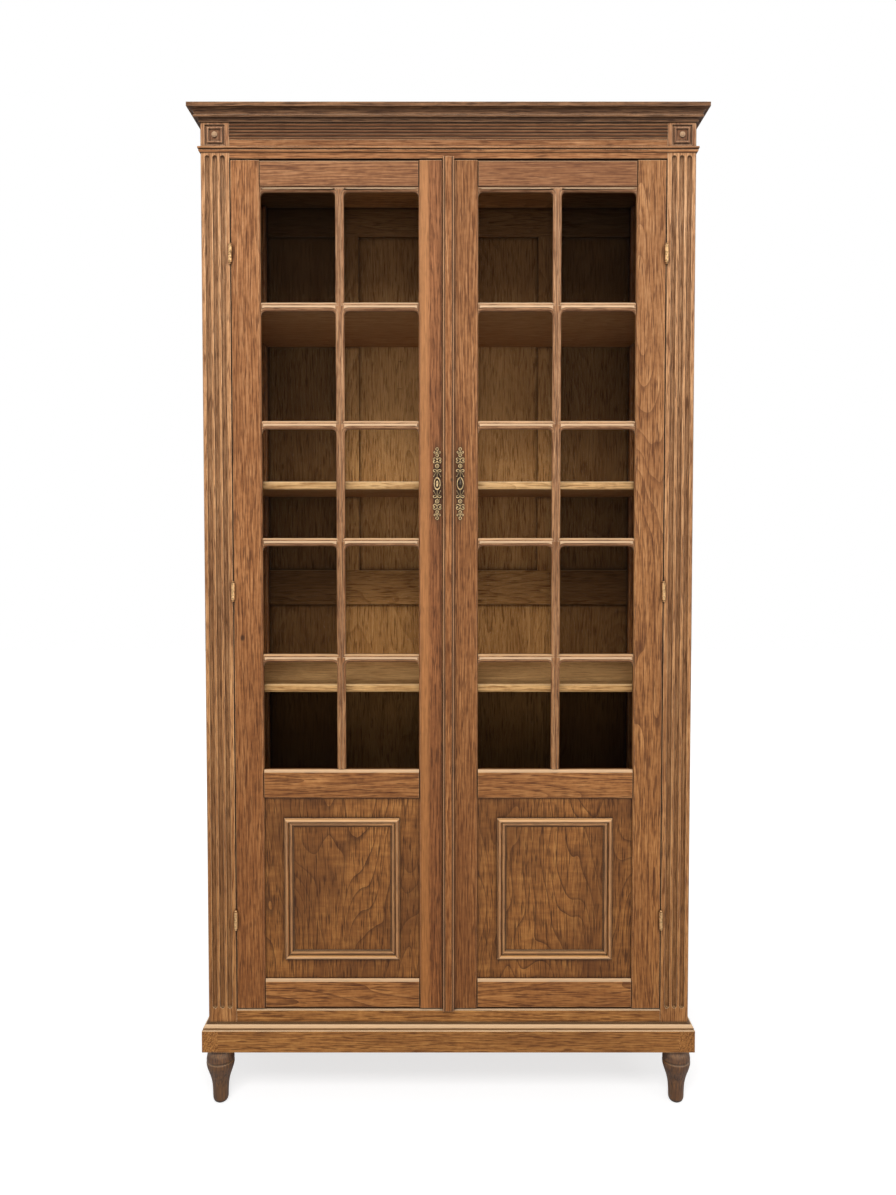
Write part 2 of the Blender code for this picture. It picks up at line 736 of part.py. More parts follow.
def plinth():
    """The base frame with a moulded upper edge at the front and sides, corner blocks and foot sockets."""
    out = PLINTH_OUT
    moulding_foot = PLINTH_TOP - PLINTH_MOULDING
    lip = out / 8
    rise = PLINTH_MOULDING - 2 * lip
    profile = [(out, FOOT_HEIGHT), (out, moulding_foot), (out - lip, moulding_foot + lip)]
    for i in range(1, MOULDING_STEPS + 1):
        angle = math.pi / 2 * i / MOULDING_STEPS
        shift = (out - 2 * lip) * (1 - math.cos(angle))
        profile.append((out - lip - shift, moulding_foot + lip + rise * math.sin(angle)))
    profile.append((0, PLINTH_TOP))
    rings = []
    for outwards, z in profile:
        side, front = HALF_WIDTH + outwards, FACE - outwards
        rings.append([(-side, front, z), (side, front, z), (side, REAR, z), (-side, REAR, z)])
    frame = loft(rings)
    inner_x = HALF_WIDTH + out - PLINTH_WALL
    front_y = FACE - out + PLINTH_WALL
    back_y = REAR - PLINTH_WALL
    corner = PLINTH_CORNER
    hollow = [
        (-inner_x + corner, front_y),
        (inner_x - corner, front_y),
        (inner_x, front_y + corner),
        (inner_x, back_y - corner),
        (inner_x - corner, back_y),
        (-inner_x + corner, back_y),
        (-inner_x, back_y - corner),
        (-inner_x, front_y + corner),
    ]
    cut(frame, prism(hollow, "Z", FOOT_HEIGHT - OVERSHOOT, PLINTH_TOP + OVERSHOOT))
    socket_z = (FOOT_HEIGHT - OVERSHOOT, FOOT_HEIGHT + SPIGOT_LENGTH + SEAT)
    cut(frame, *[rod((x, y, 0), SPIGOT_RADIUS + SEAT, *socket_z) for x, y in foot_places().values()])
    return finish(frame, "plinth", "oak")


def foot_places():
    """The centre of each foot, by its name."""
    x = HALF_WIDTH + PLINTH_OUT - FOOT_INSET
    front = FACE - PLINTH_OUT + FOOT_INSET
    back = REAR - FOOT_INSET
    return {
        "left_front_foot": (-x, front),
        "right_front_foot": (x, front),
        "left_rear_foot": (-x, back),
        "right_rear_foot": (x, back),
    }


def foot(name, place):
    """A turned foot: rounded toe, tapered shaft, vase, ring, torus and neck, with its spigot above."""
    height = FOOT_HEIGHT
    profile = [
        (0.38, 0),
        (0.47, 0.03),
        (0.52, 0.12),
        (0.55, 0.25),
        (0.65, 0.34),
        (0.84, 0.43),
        (0.96, 0.50),
        (1.0, 0.575),
        (0.98, 0.65),
        (0.93, 0.675),
        (0.97, 0.70),
        (0.91, 0.76),
        (0.79, 0.82),
        (0.80, 0.91),
        (0.86, 0.95),
    ]
    rings = [(share * FOOT_RADIUS, level * height) for share, level in profile]
    rings += [
        (0.86 * FOOT_RADIUS, height - SEAT),
        (SPIGOT_RADIUS, height - SEAT),
        (SPIGOT_RADIUS, height + SPIGOT_LENGTH),
    ]
    return finish(turned(rings, (*place, 0)), name, "dark_oak", smooth=True)


# Shelves


def rack_ledge(notch):
    """The level of a rack's ledge, counted from the lowest."""
    return FLOOR_TOP + SEAT + RACK_FOOT + notch * RACK_PITCH


def rack_outline(root, direction):
    """One toothed upright in (y, z): root is its plain edge, and its teeth point in direction."""
    low = FLOOR_TOP + SEAT
    high = CEILING_FOOT - SEAT
    tip = root + direction * RACK_WIDTH
    deep = tip - direction * RACK_TOOTH
    count = int((high - low - RACK_FOOT - RACK_HEAD) / RACK_PITCH)
    outline = [(root, low), (tip, low)]
    for i in range(count):
        ledge = rack_ledge(i)
        outline += [(tip, ledge), (deep, ledge)]
    outline += [(tip, rack_ledge(count)), (tip, high), (root, high)]
    return outline


def shelf_rack(name, side):
    """Both toothed uprights of one side, with the three cleats that carry the shelves."""
    x_limits = (side * (SIDE_INNER - SEAT - RACK_THICK), side * (SIDE_INNER - SEAT))
    front = FACE + POST_DEPTH + SEAT
    back = REAR_POST_FRONT - SEAT
    outlines = (rack_outline(front, 1), rack_outline(back, -1))
    uprights = [prism(outline, "X", *x_limits) for outline in outlines]
    reach = RACK_WIDTH - RACK_TOOTH / 2
    cleats = []
    for notch in SHELF_NOTCHES.values():
        ledge = rack_ledge(notch)
        cleats.append(box(x_limits, (front + reach, back - reach), (ledge, ledge + CLEAT_HEIGHT)))
    return finish(join(gather(uprights), *cleats), name, "inner_oak")


def shelf(name, notch):
    """A shelf notched round the racks, with softened front edges."""
    foot = rack_ledge(notch) + CLEAT_HEIGHT + SEAT
    top = foot + SHELF_THICK
    narrow = SIDE_INNER - RACK_THICK - 2 * SEAT
    wide = SIDE_INNER - SEAT
    front = FACE + SHELF_FRONT
    notch_front = FACE + POST_DEPTH + RACK_WIDTH + 2 * SEAT
    notch_back = REAR_POST_FRONT - RACK_WIDTH - 2 * SEAT
    right = [
        (narrow, front),
        (narrow, notch_front),
        (wide, notch_front),
        (wide, notch_back),
        (REAR_POST_INNER - SEAT, notch_back),
        (REAR_POST_INNER - SEAT, SHELF_BACK),
    ]
    board = prism(right + [(-x, y) for x, y in reversed(right)], "Z", foot, top)
    bevels = []
    for edge, inwards in ((foot, 1), (top, -1)):
        bevel = [
            (front - OVERSHOOT, edge - inwards * OVERSHOOT),
            (front + SHELF_ARRIS, edge - inwards * OVERSHOOT),
            (front + SHELF_ARRIS, edge),
            (front, edge + inwards * SHELF_ARRIS),
            (front - OVERSHOOT, edge + inwards * SHELF_ARRIS),
        ]
        bevels.append(prism(bevel, "X", -HALF_WIDTH, HALF_WIDTH))
    return finish(cut(board, *bevels), name, "inner_oak")


# Doors


def rail_levels():
    """Bottom and top of a door's three rails, by their names."""
    return {
        "bottom_rail": (DOOR_FOOT, PANEL_FOOT),
        "middle_rail": (PANEL_TOP, LIGHTS_FOOT),
        "top_rail": (LATTICE_TOP, DOOR_TOP),
    }


def door_tenon(side, inner, inwards, levels, clearance):
    """The tenon of a door rail in the stile at inner, or with a clearance its mortise."""
    reach = TENON_LENGTH + clearance
    x_range = (side * (inner - inwards * OVERSHOOT), side * (inner + inwards * reach))
    y_range = (FACE + TENON_SETBACK - clearance, FACE + TENON_SETBACK + TENON_THICK + clearance)
    low, high = levels
    return box(x_range, y_range, (low + TENON_SHOULDER - clearance, high - TENON_SHOULDER + clearance))


def glass_depth():
    """How far the glass lies behind the face of the door."""
    return LATTICE_SETBACK + LATTICE_THICK + SEAT


def cut_stile_joints(stile, side, inner, inwards):
    """Cut a stile's glazing rebate, panel groove and mortises: its wood lies inwards from inner."""
    edge_x = (side * (inner - inwards * OVERSHOOT), side * (inner + inwards * GROOVE_DEPTH))
    rebate_y = (FACE + glass_depth() - SEAT, FACE + DOOR_THICK + OVERSHOOT)
    rebate = box(edge_x, rebate_y, (LIGHTS_FOOT - GROOVE_DEPTH, LATTICE_TOP + GROOVE_DEPTH))
    groove_y = (FACE + PANEL_SETBACK - SEAT, FACE + PANEL_SETBACK + PANEL_THICK + SEAT)
    groove = box(edge_x, groove_y, (PANEL_FOOT - GROOVE_DEPTH, PANEL_TOP + GROOVE_DEPTH))
    cut(stile, rebate, groove)
    cut(stile, *[door_tenon(side, inner, inwards, levels, SEAT) for levels in rail_levels().values()])


def hinge_stile(side):
    """The stile that hangs on the post, with a mortise for each hinge leaf."""
    inner, outer = HINGE_STILE_INNER, DOOR_OUTER
    outline = [
        (side * inner, FACE + DOOR_THICK),
        (side * inner, FACE + STILE_ARRIS),
        (side * (inner + STILE_ARRIS), FACE),
        (side * outer, FACE),
        (side * outer, FACE + DOOR_THICK),
    ]
    stile = prism(outline, "Z", DOOR_FOOT, DOOR_TOP)
    cut_stile_joints(stile, side, inner, 1)
    return cut(stile, *[hinge_slot(side, level, -1, False) for level in HINGE_LEVELS.values()])


def meeting_stile(side, edge, bevel):
    """The stile at the middle of the cabinet: bevel draws its closing edge back behind the face."""
    inner = MEETING_STILE_INNER
    outline = [
        (side * edge, FACE),
        (side * (inner - STILE_ARRIS), FACE),
        (side * inner, FACE + STILE_ARRIS),
        (side * inner, FACE + DOOR_THICK),
        (side * (edge + bevel), FACE + DOOR_THICK),
    ]
    stile = prism(outline, "Z", DOOR_FOOT, DOOR_TOP)
    cut_stile_joints(stile, side, inner, -1)
    return stile


def door_rail(side, levels, has_rebate, has_groove):
    """A door rail with tenons: a rebate for the glass or a groove for the panel, on the edges named."""
    low, high = levels
    back = FACE + DOOR_THICK
    glass = FACE + glass_depth() - SEAT
    groove = (FACE + PANEL_SETBACK - SEAT, FACE + PANEL_SETBACK + PANEL_THICK + SEAT)
    outline = [(FACE, low + RAIL_ARRIS), (FACE, high - RAIL_ARRIS), (FACE + RAIL_ARRIS, high)]
    if has_groove == "top":
        outline += [(groove[0], high), (groove[0], high - GROOVE_DEPTH)]
        outline += [(groove[1], high - GROOVE_DEPTH), (groove[1], high)]
    if has_rebate == "top":
        outline += [(glass, high), (glass, high - GROOVE_DEPTH), (back, high - GROOVE_DEPTH)]
    else:
        outline.append((back, high))
    if has_rebate == "bottom":
        outline += [(back, low + GROOVE_DEPTH), (glass, low + GROOVE_DEPTH), (glass, low)]
    else:
        outline.append((back, low))
    if has_groove == "bottom":
        outline += [(groove[1], low), (groove[1], low + GROOVE_DEPTH)]
        outline += [(groove[0], low + GROOVE_DEPTH), (groove[0], low)]
    outline.append((FACE + RAIL_ARRIS, low))
    inner, outer = MEETING_STILE_INNER + SEAT, HINGE_STILE_INNER - SEAT
    rail = prism(outline, "X", side * inner, side * outer)
    join(rail, door_tenon(side, inner, -1, levels, 0), door_tenon(side, outer, 1, levels, 0))
    return rail


def light_ring(x_limits, z_limits, grow, y, sides_open):
    """One ring of a light's cutter: square below, coved above, and past the bars at an open side."""
    left, right = x_limits[0] - grow, x_limits[1] + grow
    foot, head = z_limits[0] - grow, z_limits[1] + grow
    radius = COVE_RADIUS + grow
    beyond_left = left - (OVERSHOOT + BAR_BEVEL if sides_open[0] else 0)
    beyond_right = right + (OVERSHOOT + BAR_BEVEL if sides_open[1] else 0)
    points = [(beyond_left, foot), (beyond_right, foot), (beyond_right, head - radius)]
    points += arc((right - radius, head - radius), radius, 0, 90, COVE_STEPS)
    points += arc((left + radius, head - radius), radius, 90, 180, COVE_STEPS)
    points.append((beyond_left, head - radius))
    return [(x, y, z) for x, z in points]


def glazing_bars(side):
    """The lattice of bars, cut from one board: ten lights with coved upper corners and bevelled edges."""
    inner, outer = MEETING_STILE_INNER + SEAT, HINGE_STILE_INNER - SEAT
    low_x, high_x = sorted((side * inner, side * outer))
    foot, top = LIGHTS_FOOT + SEAT, LATTICE_TOP - SEAT
    front = FACE + LATTICE_SETBACK
    back = front + LATTICE_THICK
    lattice = box((low_x, high_x), (front, back), (foot, top))
    light_width = (high_x - low_x - (LIGHT_COLUMNS - 1) * UPRIGHT_BAR) / LIGHT_COLUMNS
    light_height = (top - LATTICE_TOP_STRIP - foot - (LIGHT_ROWS - 1) * CROSS_BAR) / LIGHT_ROWS
    lights = []
    for column in range(LIGHT_COLUMNS):
        left = low_x + column * (light_width + UPRIGHT_BAR)
        sides_open = (column == 0, column == LIGHT_COLUMNS - 1)
        for row in range(LIGHT_ROWS):
            low = foot + row * (light_height + CROSS_BAR)
            z_limits = (low - (OVERSHOOT if row == 0 else 0), low + light_height)
            x_limits = (left, left + light_width)
            rings = []
            for grow, y in ((BAR_BEVEL + OVERSHOOT, front - OVERSHOOT), (0, front + BAR_BEVEL), (0, back + OVERSHOOT)):
                rings.append(light_ring(x_limits, z_limits, grow, y, sides_open))
            lights.append(loft(rings))
    return cut(lattice, *lights)


def door_glass(side):
    """The pane behind the bars, with its edges in the rebates."""
    lap = GROOVE_DEPTH - SEAT
    x_range = (side * (MEETING_STILE_INNER - lap), side * (HINGE_STILE_INNER + lap))
    y_range = (FACE + glass_depth(), FACE + glass_depth() + GLASS_THICK)
    return box(x_range, y_range, (LIGHTS_FOOT - lap, LATTICE_TOP + lap))


def door_panel(side):
    """The lower panel with the mitred moulding planted on it."""
    lap = GROOVE_DEPTH - SEAT
    low_x, high_x = sorted((side * (MEETING_STILE_INNER - lap), side * (HINGE_STILE_INNER + lap)))
    low, high = PANEL_FOOT - lap, PANEL_TOP + lap
    front = FACE + PANEL_SETBACK
    margin = lap + MOULDING_MARGIN
    width, proud = MOULDING_WIDTH, MOULDING_PROUD
    steps = [
        (0, PANEL_THICK),
        (0, 0),
        (margin, 0),
        (margin, -proud * 0.55),
        (margin + width * 0.15, -proud * 0.9),
        (margin + width * 0.32, -proud),
        (margin + width * 0.48, -proud * 0.8),
        (margin + width * 0.55, -proud * 0.45),
        (margin + width * 0.78, -proud * 0.6),
        (margin + width, -proud * 0.2),
        (margin + width, 0),
    ]
    rings = []
    for inset, depth in steps:
        x0, x1, z0, z1 = low_x + inset, high_x - inset, low + inset, high - inset
        rings.append([(x, front + depth, z) for x, z in ((x0, z0), (x1, z0), (x1, z1), (x0, z1))])
    return loft(rings)


def cover_strip():
    """The reeded strip on the right door's edge, which hides the gap between the doors."""
    left, right = -STRIP_LEFT, STRIP_RIGHT
    back, front = FACE - SEAT, FACE - STRIP_PROUD
    bead, quirk = STRIP_BEAD, STRIP_QUIRK
    radius = bead / 2
    outline = [(left, back)]
    outline += arc((left + radius, front + radius), radius, 180, 360, REED_STEPS)
    outline += [(left + bead, front + radius + quirk), (left + bead + quirk, front + quirk)]
    middle = (left + right) / 2
    outline += [(middle, front)]
    outline += [(right - bead - quirk, front + quirk), (right - bead, front + radius + quirk)]
    outline += arc((right - radius, front + radius), radius, 180, 360, REED_STEPS)
    outline += [(right, back)]
    foot, top = SILL_TOP - STRIP_OVERLAP, FRIEZE_FOOT + STRIP_OVERLAP
    return prism(outline, "Z", foot, top)


# Hinges


def hinge_leaf(side, towards, z_range):
    """The cranked leaf of a hinge half: a neck in the gap, then a blade into the post or the door."""
    half = LEAF_THICK / 2
    root = HINGE_Y + (BARREL_RADIUS + PIN_RADIUS + PIN_CLEARANCE) / 2
    blade_front = FACE + LEAF_DEPTH
    blade_back = blade_front + LEAF_THICK
    shape = [(-half, root), (half, root), (half, blade_front), (LEAF_LENGTH, blade_front)]
    shape += [(LEAF_LENGTH, blade_back), (-half, blade_back)]
    return prism([(side * (HINGE_U + towards * a), y) for a, y in shape], "Z", *z_range)


def finial(direction):
    """The turned end of a barrel, as (radius, distance), from the barrel outwards."""
    radius, height = BARREL_RADIUS, FINIAL_HEIGHT
    shares = ((0.5, 0.15), (0.72, 0.5), (0.6, 0.8), (0.2, 1))
    return [(radius * share, direction * (BARREL_HALF + height * level)) for share, level in shares]


def post_hinge_half(side, level):
    """The lower half of a hinge: barrel, finial, the pin that rises from it, and its leaf."""
    barrel = list(reversed(finial(-1)))
    barrel += [(BARREL_RADIUS, -BARREL_HALF), (BARREL_RADIUS, -PIN_CLEARANCE / 2)]
    barrel += [(PIN_RADIUS, -PIN_CLEARANCE / 2), (PIN_RADIUS, PIN_LENGTH)]
    half = turned(barrel, (side * HINGE_U, HINGE_Y, level), "Z", BARREL_SEGMENTS)
    leaf_z = (level - BARREL_HALF + LEAF_MARGIN, level - LEAF_MARGIN)
    return join(half, hinge_leaf(side, 1, leaf_z))


def door_hinge_half(side, level):
    """The upper half of a hinge: a bored barrel with its finial, and its leaf."""
    bore = PIN_RADIUS + PIN_CLEARANCE
    barrel = [(bore, PIN_LENGTH + PIN_CLEARANCE), (bore, PIN_CLEARANCE / 2)]
    barrel += [(BARREL_RADIUS, PIN_CLEARANCE / 2), (BARREL_RADIUS, BARREL_HALF)] + finial(1)
    half = turned(barrel, (side * HINGE_U, HINGE_Y, level), "Z", BARREL_SEGMENTS)
    leaf_z = (level + LEAF_MARGIN, level + BARREL_HALF - LEAF_MARGIN)
    return join(half, hinge_leaf(side, -1, leaf_z))


# Lock, key and bolts


def lock_mortise():
    """The pocket for the lock in the right door's meeting stile."""
    y_range = (FACE + LOCK_SETBACK - SEAT, FACE + LOCK_SETBACK + LOCK_THICK + SEAT)
    z_range = (LOCK_Z - LOCK_HALF_HEIGHT - SEAT, LOCK_Z + LOCK_HALF_HEIGHT + SEAT)
    return box((RIGHT_EDGE - OVERSHOOT, LOCK_REACH + SEAT), y_range, z_range)


def keyhole(y_range, margin):
    """The shape a key passes through: a round hole with a slot below it."""
    stem = KEY_STEM + margin
    slot = KEY_BIT_WIDTH / 2 + margin
    hole = rod((KEY_X, 0, LOCK_Z), stem, *y_range, axis="Y")
    return join(hole, box((KEY_X - slot, KEY_X + slot), y_range, (LOCK_Z - KEY_BIT - margin, LOCK_Z)))


def bolt_channel(clearance):
    """Height and depth limits of the lock bolt, widened by a clearance."""
    low = LOCK_Z + KEY_BIT + 2 * LOCK_WALL
    inside = (FACE + LOCK_SETBACK + LOCK_WALL, FACE + LOCK_SETBACK + LOCK_THICK - LOCK_WALL)
    y_range = (inside[0] + SEAT - clearance, inside[1] - SEAT + clearance)
    return y_range, (low - clearance, low + BOLT_HEIGHT + clearance)


def lock_case():
    """The lock's case, open at the keyhole, the key's chamber and the bolt's channel."""
    y_range = (FACE + LOCK_SETBACK, FACE + LOCK_SETBACK + LOCK_THICK)
    z_range = (LOCK_Z - LOCK_HALF_HEIGHT, LOCK_Z + LOCK_HALF_HEIGHT)
    case = box((RIGHT_EDGE, LOCK_REACH), y_range, z_range)
    inside = (y_range[0] + LOCK_WALL, y_range[1] - LOCK_WALL)
    chamber = KEY_BIT + LOCK_WALL / 2
    cut(case, rod((KEY_X, 0, LOCK_Z), chamber, *inside, axis="Y", segments=TURNING_SEGMENTS))
    cut(case, keyhole((y_range[0] - OVERSHOOT, inside[0] + OVERSHOOT), SEAT))
    bolt_y, bolt_z = bolt_channel(SEAT)
    cut(case, box((RIGHT_EDGE - OVERSHOOT, LOCK_REACH - LOCK_WALL), bolt_y, bolt_z))
    return finish(case, "lock_case", "steel")


def lock_bolt():
    """The bolt that the key throws into the left door's stile, drawn back at rest."""
    y_range, z_range = bolt_channel(0)
    x_range = (RIGHT_EDGE + SEAT, LOCK_REACH - LOCK_WALL - SEAT)
    return finish(box(x_range, y_range, z_range), "lock_bolt", "steel")


def key():
    """The key: stem, collar, bit pointing down and an oval bow standing upright."""
    inside = FACE + LOCK_SETBACK + LOCK_THICK - LOCK_WALL - SEAT
    bow_reach = 2 * KEY_BOW
    bow_start = FACE - KEY_PROUD + bow_reach
    profile = [
        (KEY_STEM * 0.9, bow_start - KEY_BOW_WIRE),
        (KEY_STEM * 1.5, bow_start + 0.001),
        (KEY_STEM * 1.5, bow_start + 0.002),
        (KEY_STEM, bow_start + 0.003),
        (KEY_STEM, inside),
    ]
    stem = turned(profile, (KEY_X, 0, LOCK_Z), "Y", BARREL_SEGMENTS)
    bit_y = (FACE + LOCK_SETBACK + LOCK_WALL + SEAT, inside)
    half = KEY_BIT_WIDTH / 2
    join(stem, box((KEY_X - half, KEY_X + half), bit_y, (LOCK_Z - KEY_BIT, LOCK_Z - KEY_STEM / 2)))
    bow_centre = FACE - KEY_PROUD + KEY_BOW
    outer = oval((bow_centre, LOCK_Z), KEY_BOW, KEY_BOW * 1.15)
    hole = oval((bow_centre, LOCK_Z), KEY_BOW - 2 * KEY_BOW_WIRE, KEY_BOW * 1.15 - 2 * KEY_BOW_WIRE)
    bow = prism(outer, "X", KEY_X - KEY_BOW_WIRE, KEY_X + KEY_BOW_WIRE)
    cut(bow, prism(hole, "X", KEY_X - KEY_BOW_WIRE - OVERSHOOT, KEY_X + KEY_BOW_WIRE + OVERSHOOT))
    return finish(join(stem, bow), "key", "steel")


def oval(centre, half_across, half_up):
    """The points of an oval outline."""
    points = []
    for i in range(TURNING_SEGMENTS):
        angle = 2 * math.pi * i / TURNING_SEGMENTS
        points.append((centre[0] + half_across * math.cos(angle), centre[1] + half_up * math.sin(angle)))
    return points


def rod_limits(upper):
    """The lower and upper end of a sliding bolt, drawn back inside its door."""
    if upper:
        return DOOR_TOP - ROD_SHY - ROD_LENGTH, DOOR_TOP - ROD_SHY
    return DOOR_FOOT + ROD_SHY, DOOR_FOOT + ROD_SHY + ROD_LENGTH


def rod_knob_level(upper):
    """The height of a sliding bolt's knob at rest."""
    low, high = rod_limits(upper)
    return low + ROD_KNOB_UP if upper else high - ROD_KNOB_UP


def cut_bolt_run(stile, upper):
    """Bore the left meeting stile for a sliding bolt, and slot its back for the knob."""
    centre = (ROD_X, FACE + ROD_DEPTH, 0)
    low, high = rod_limits(upper)
    travel = ROD_TRAVEL if upper else -ROD_TRAVEL
    bore = (low - SEAT, DOOR_TOP + OVERSHOOT) if upper else (DOOR_FOOT - OVERSHOOT, high + SEAT)
    cut(stile, rod(centre, ROD_RADIUS + SEAT, *bore))
    knob = rod_knob_level(upper)
    ends = sorted((knob, knob + travel))
    margin = ROD_KNOB_RADIUS + 2 * SEAT
    slot_y = (FACE + ROD_DEPTH, FACE + DOOR_THICK + OVERSHOOT)
    cut(stile, box((ROD_X - margin, ROD_X + margin), slot_y, (ends[0] - margin, ends[1] + margin)))


def sliding_bolt(name, upper):
    """A round bolt with a knob that stands out behind the door."""
    centre = (ROD_X, FACE + ROD_DEPTH, 0)
    shaft = rod(centre, ROD_RADIUS, *rod_limits(upper))
    knob = turned(
        [
            (ROD_KNOB_RADIUS, 0),
            (ROD_KNOB_RADIUS, ROD_KNOB_REACH * 0.65),
            (ROD_KNOB_RADIUS * 1.7, ROD_KNOB_REACH * 0.75),
            (ROD_KNOB_RADIUS * 1.7, ROD_KNOB_REACH * 0.95),
            (ROD_KNOB_RADIUS, ROD_KNOB_REACH),
        ],
        (ROD_X, FACE + ROD_DEPTH, rod_knob_level(upper)),
        "Y",
        BARREL_SEGMENTS,
    )
    return finish(join(shaft, knob), name, "steel")


def strike():
    """The mortise in the left meeting stile that takes the lock bolt."""
    y_range, z_range = bolt_channel(2 * SEAT)
    return box((-LEFT_EDGE + OVERSHOOT, -LEFT_EDGE - STRIKE_DEPTH), y_range, z_range)


def plate_half_width(share):
    """Half the width of an escutcheon at a share of its half height: lobes round an oval centre."""
    lobes = 0.62 + 0.38 * abs(math.cos(4.5 * math.pi * share))
    centre = math.sqrt(max(0.0, 1 - (share / 0.24) ** 2))
    tip = math.sqrt(max(0.0, 1 - share**8))
    return PLATE_WIDTH / 2 * max(lobes * tip, centre, 0.12)


def escutcheon(name, centre_x, with_keyhole):
    """A long pierced plate with a lobed outline."""
    half = PLATE_HEIGHT / 2
    shares = [-1 + 2 * i / PLATE_STEPS for i in range(PLATE_STEPS + 1)]
    right = [(centre_x + plate_half_width(share), LOCK_Z + share * half) for share in shares]
    left = [(centre_x - plate_half_width(share), LOCK_Z + share * half) for share in reversed(shares)]
    back = FACE - SEAT
    plate = prism(right + left, "Y", back - PLATE_THICK, back)
    through = (back - PLATE_THICK - OVERSHOOT, FACE)
    openings = []
    for share in (-0.89, -0.665, -0.445, 0.445, 0.665, 0.89):
        centre = (centre_x, 0, LOCK_Z + share * half)
        openings.append(rod(centre, PLATE_OPENING, *through, axis="Y", segments=OPENING_SEGMENTS))
    if with_keyhole:
        openings.append(keyhole(through, 2 * SEAT))
    return finish(cut(plate, *openings), name, "brass")


# Assembly


def build_carcass():
    """Everything that stands still."""
    for side_name, side in SIDES.items():
        front_post(f"{side_name}_front_post", side)
        side_frame(f"{side_name}_side_frame", side)
        side_panel(f"{side_name}_side_panel", side)
        shelf_rack(f"{side_name}_shelf_rack", side)
        for level_name, level in HINGE_LEVELS.items():
            name = f"{side_name}_{level_name}_hinge_post_half"
            finish(post_hinge_half(side, level), name, "steel", smooth=True)
    back_frame()
    back_panels()
    top_board()
    floor_board()
    frieze_rail()
    cornice()
    necking()
    plinth()
    for name, place in foot_places().items():
        foot(name, place)
    for shelf_name, notch in SHELF_NOTCHES.items():
        shelf(f"{shelf_name}_shelf", notch)


def build_door(side_name):
    """One door's frame, bars, glass, panel and hinge halves, carried by an empty on its hinge axis."""
    side = SIDES[side_name]
    door = f"{side_name}_door"
    axis = pivot(f"{door}_axis", (side * HINGE_U, HINGE_Y, DOOR_FOOT))
    meeting = meeting_stile(side, MEETING_EDGES[side_name], CLOSING_BEVEL if side_name == "left" else 0)
    if side_name == "left":
        cut(meeting, strike())
        cut_bolt_run(meeting, True)
        cut_bolt_run(meeting, False)
    else:
        cut(meeting, lock_mortise())
        cut(meeting, keyhole((FACE - OVERSHOOT, FACE + LOCK_SETBACK), 2 * SEAT))
    levels = rail_levels()
    pieces = [
        finish(hinge_stile(side), f"{door}_hinge_stile", "oak"),
        finish(meeting, f"{door}_meeting_stile", "oak"),
        finish(door_rail(side, levels["bottom_rail"], None, "top"), f"{door}_bottom_rail", "oak"),
        finish(door_rail(side, levels["middle_rail"], "top", "bottom"), f"{door}_middle_rail", "oak"),
        finish(door_rail(side, levels["top_rail"], "bottom", None), f"{door}_top_rail", "oak"),
        finish(glazing_bars(side), f"{door}_glazing_bars", "oak"),
        finish(door_glass(side), f"{door}_glass", "glass"),
        finish(door_panel(side), f"{door}_panel", "figured_oak"),
    ]
    for level_name, level in HINGE_LEVELS.items():
        name = f"{side_name}_{level_name}_hinge_door_half"
        pieces.append(finish(door_hinge_half(side, level), name, "steel", smooth=True))
    carry(axis, *pieces)
    return axis


def build():
    """The whole cabinet."""
    for old in list(bpy.data.objects):
        bpy.data.objects.remove(old)
    build_carcass()
    left = build_door("left")
    right = build_door("right")
    carry(left, escutcheon("left_escutcheon", -LEFT_PLATE_X, False))
    for name, upper in (("left_door_top_bolt", True), ("left_door_bottom_bolt", False)):
        axis = pivot(f"{name}_axis", (ROD_X, FACE + ROD_DEPTH, rod_limits(upper)[0]), left)
        carry(axis, sliding_bolt(name, upper))
    strip = finish(cover_strip(), "cover_strip", "oak")
    carry(right, strip, escutcheon("right_escutcheon", KEY_X, True), lock_case())
    bolt_axis = pivot("lock_bolt_axis", (RIGHT_EDGE, FACE + LOCK_SETBACK + LOCK_THICK / 2, LOCK_Z), right)
    carry(bolt_axis, lock_bolt())
    key_axis = pivot("key_axis", (KEY_X, FACE, LOCK_Z), right)
    carry(key_axis, key())


build()
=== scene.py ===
"""Antique oak display cabinet: the look of every piece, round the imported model.

The cabinet's own wood is kept or remade from its solids, so that every outline stays where
the solids have it. Turned feet, hinges, key plates and the mitred panel mouldings are
modelled anew. All sizes are in metres, +Z is up and the doors face -Y.
"""

import json
import logging
import math
from collections.abc import Callable, Iterator, Sequence
from contextlib import contextmanager
from dataclasses import dataclass
from enum import Enum

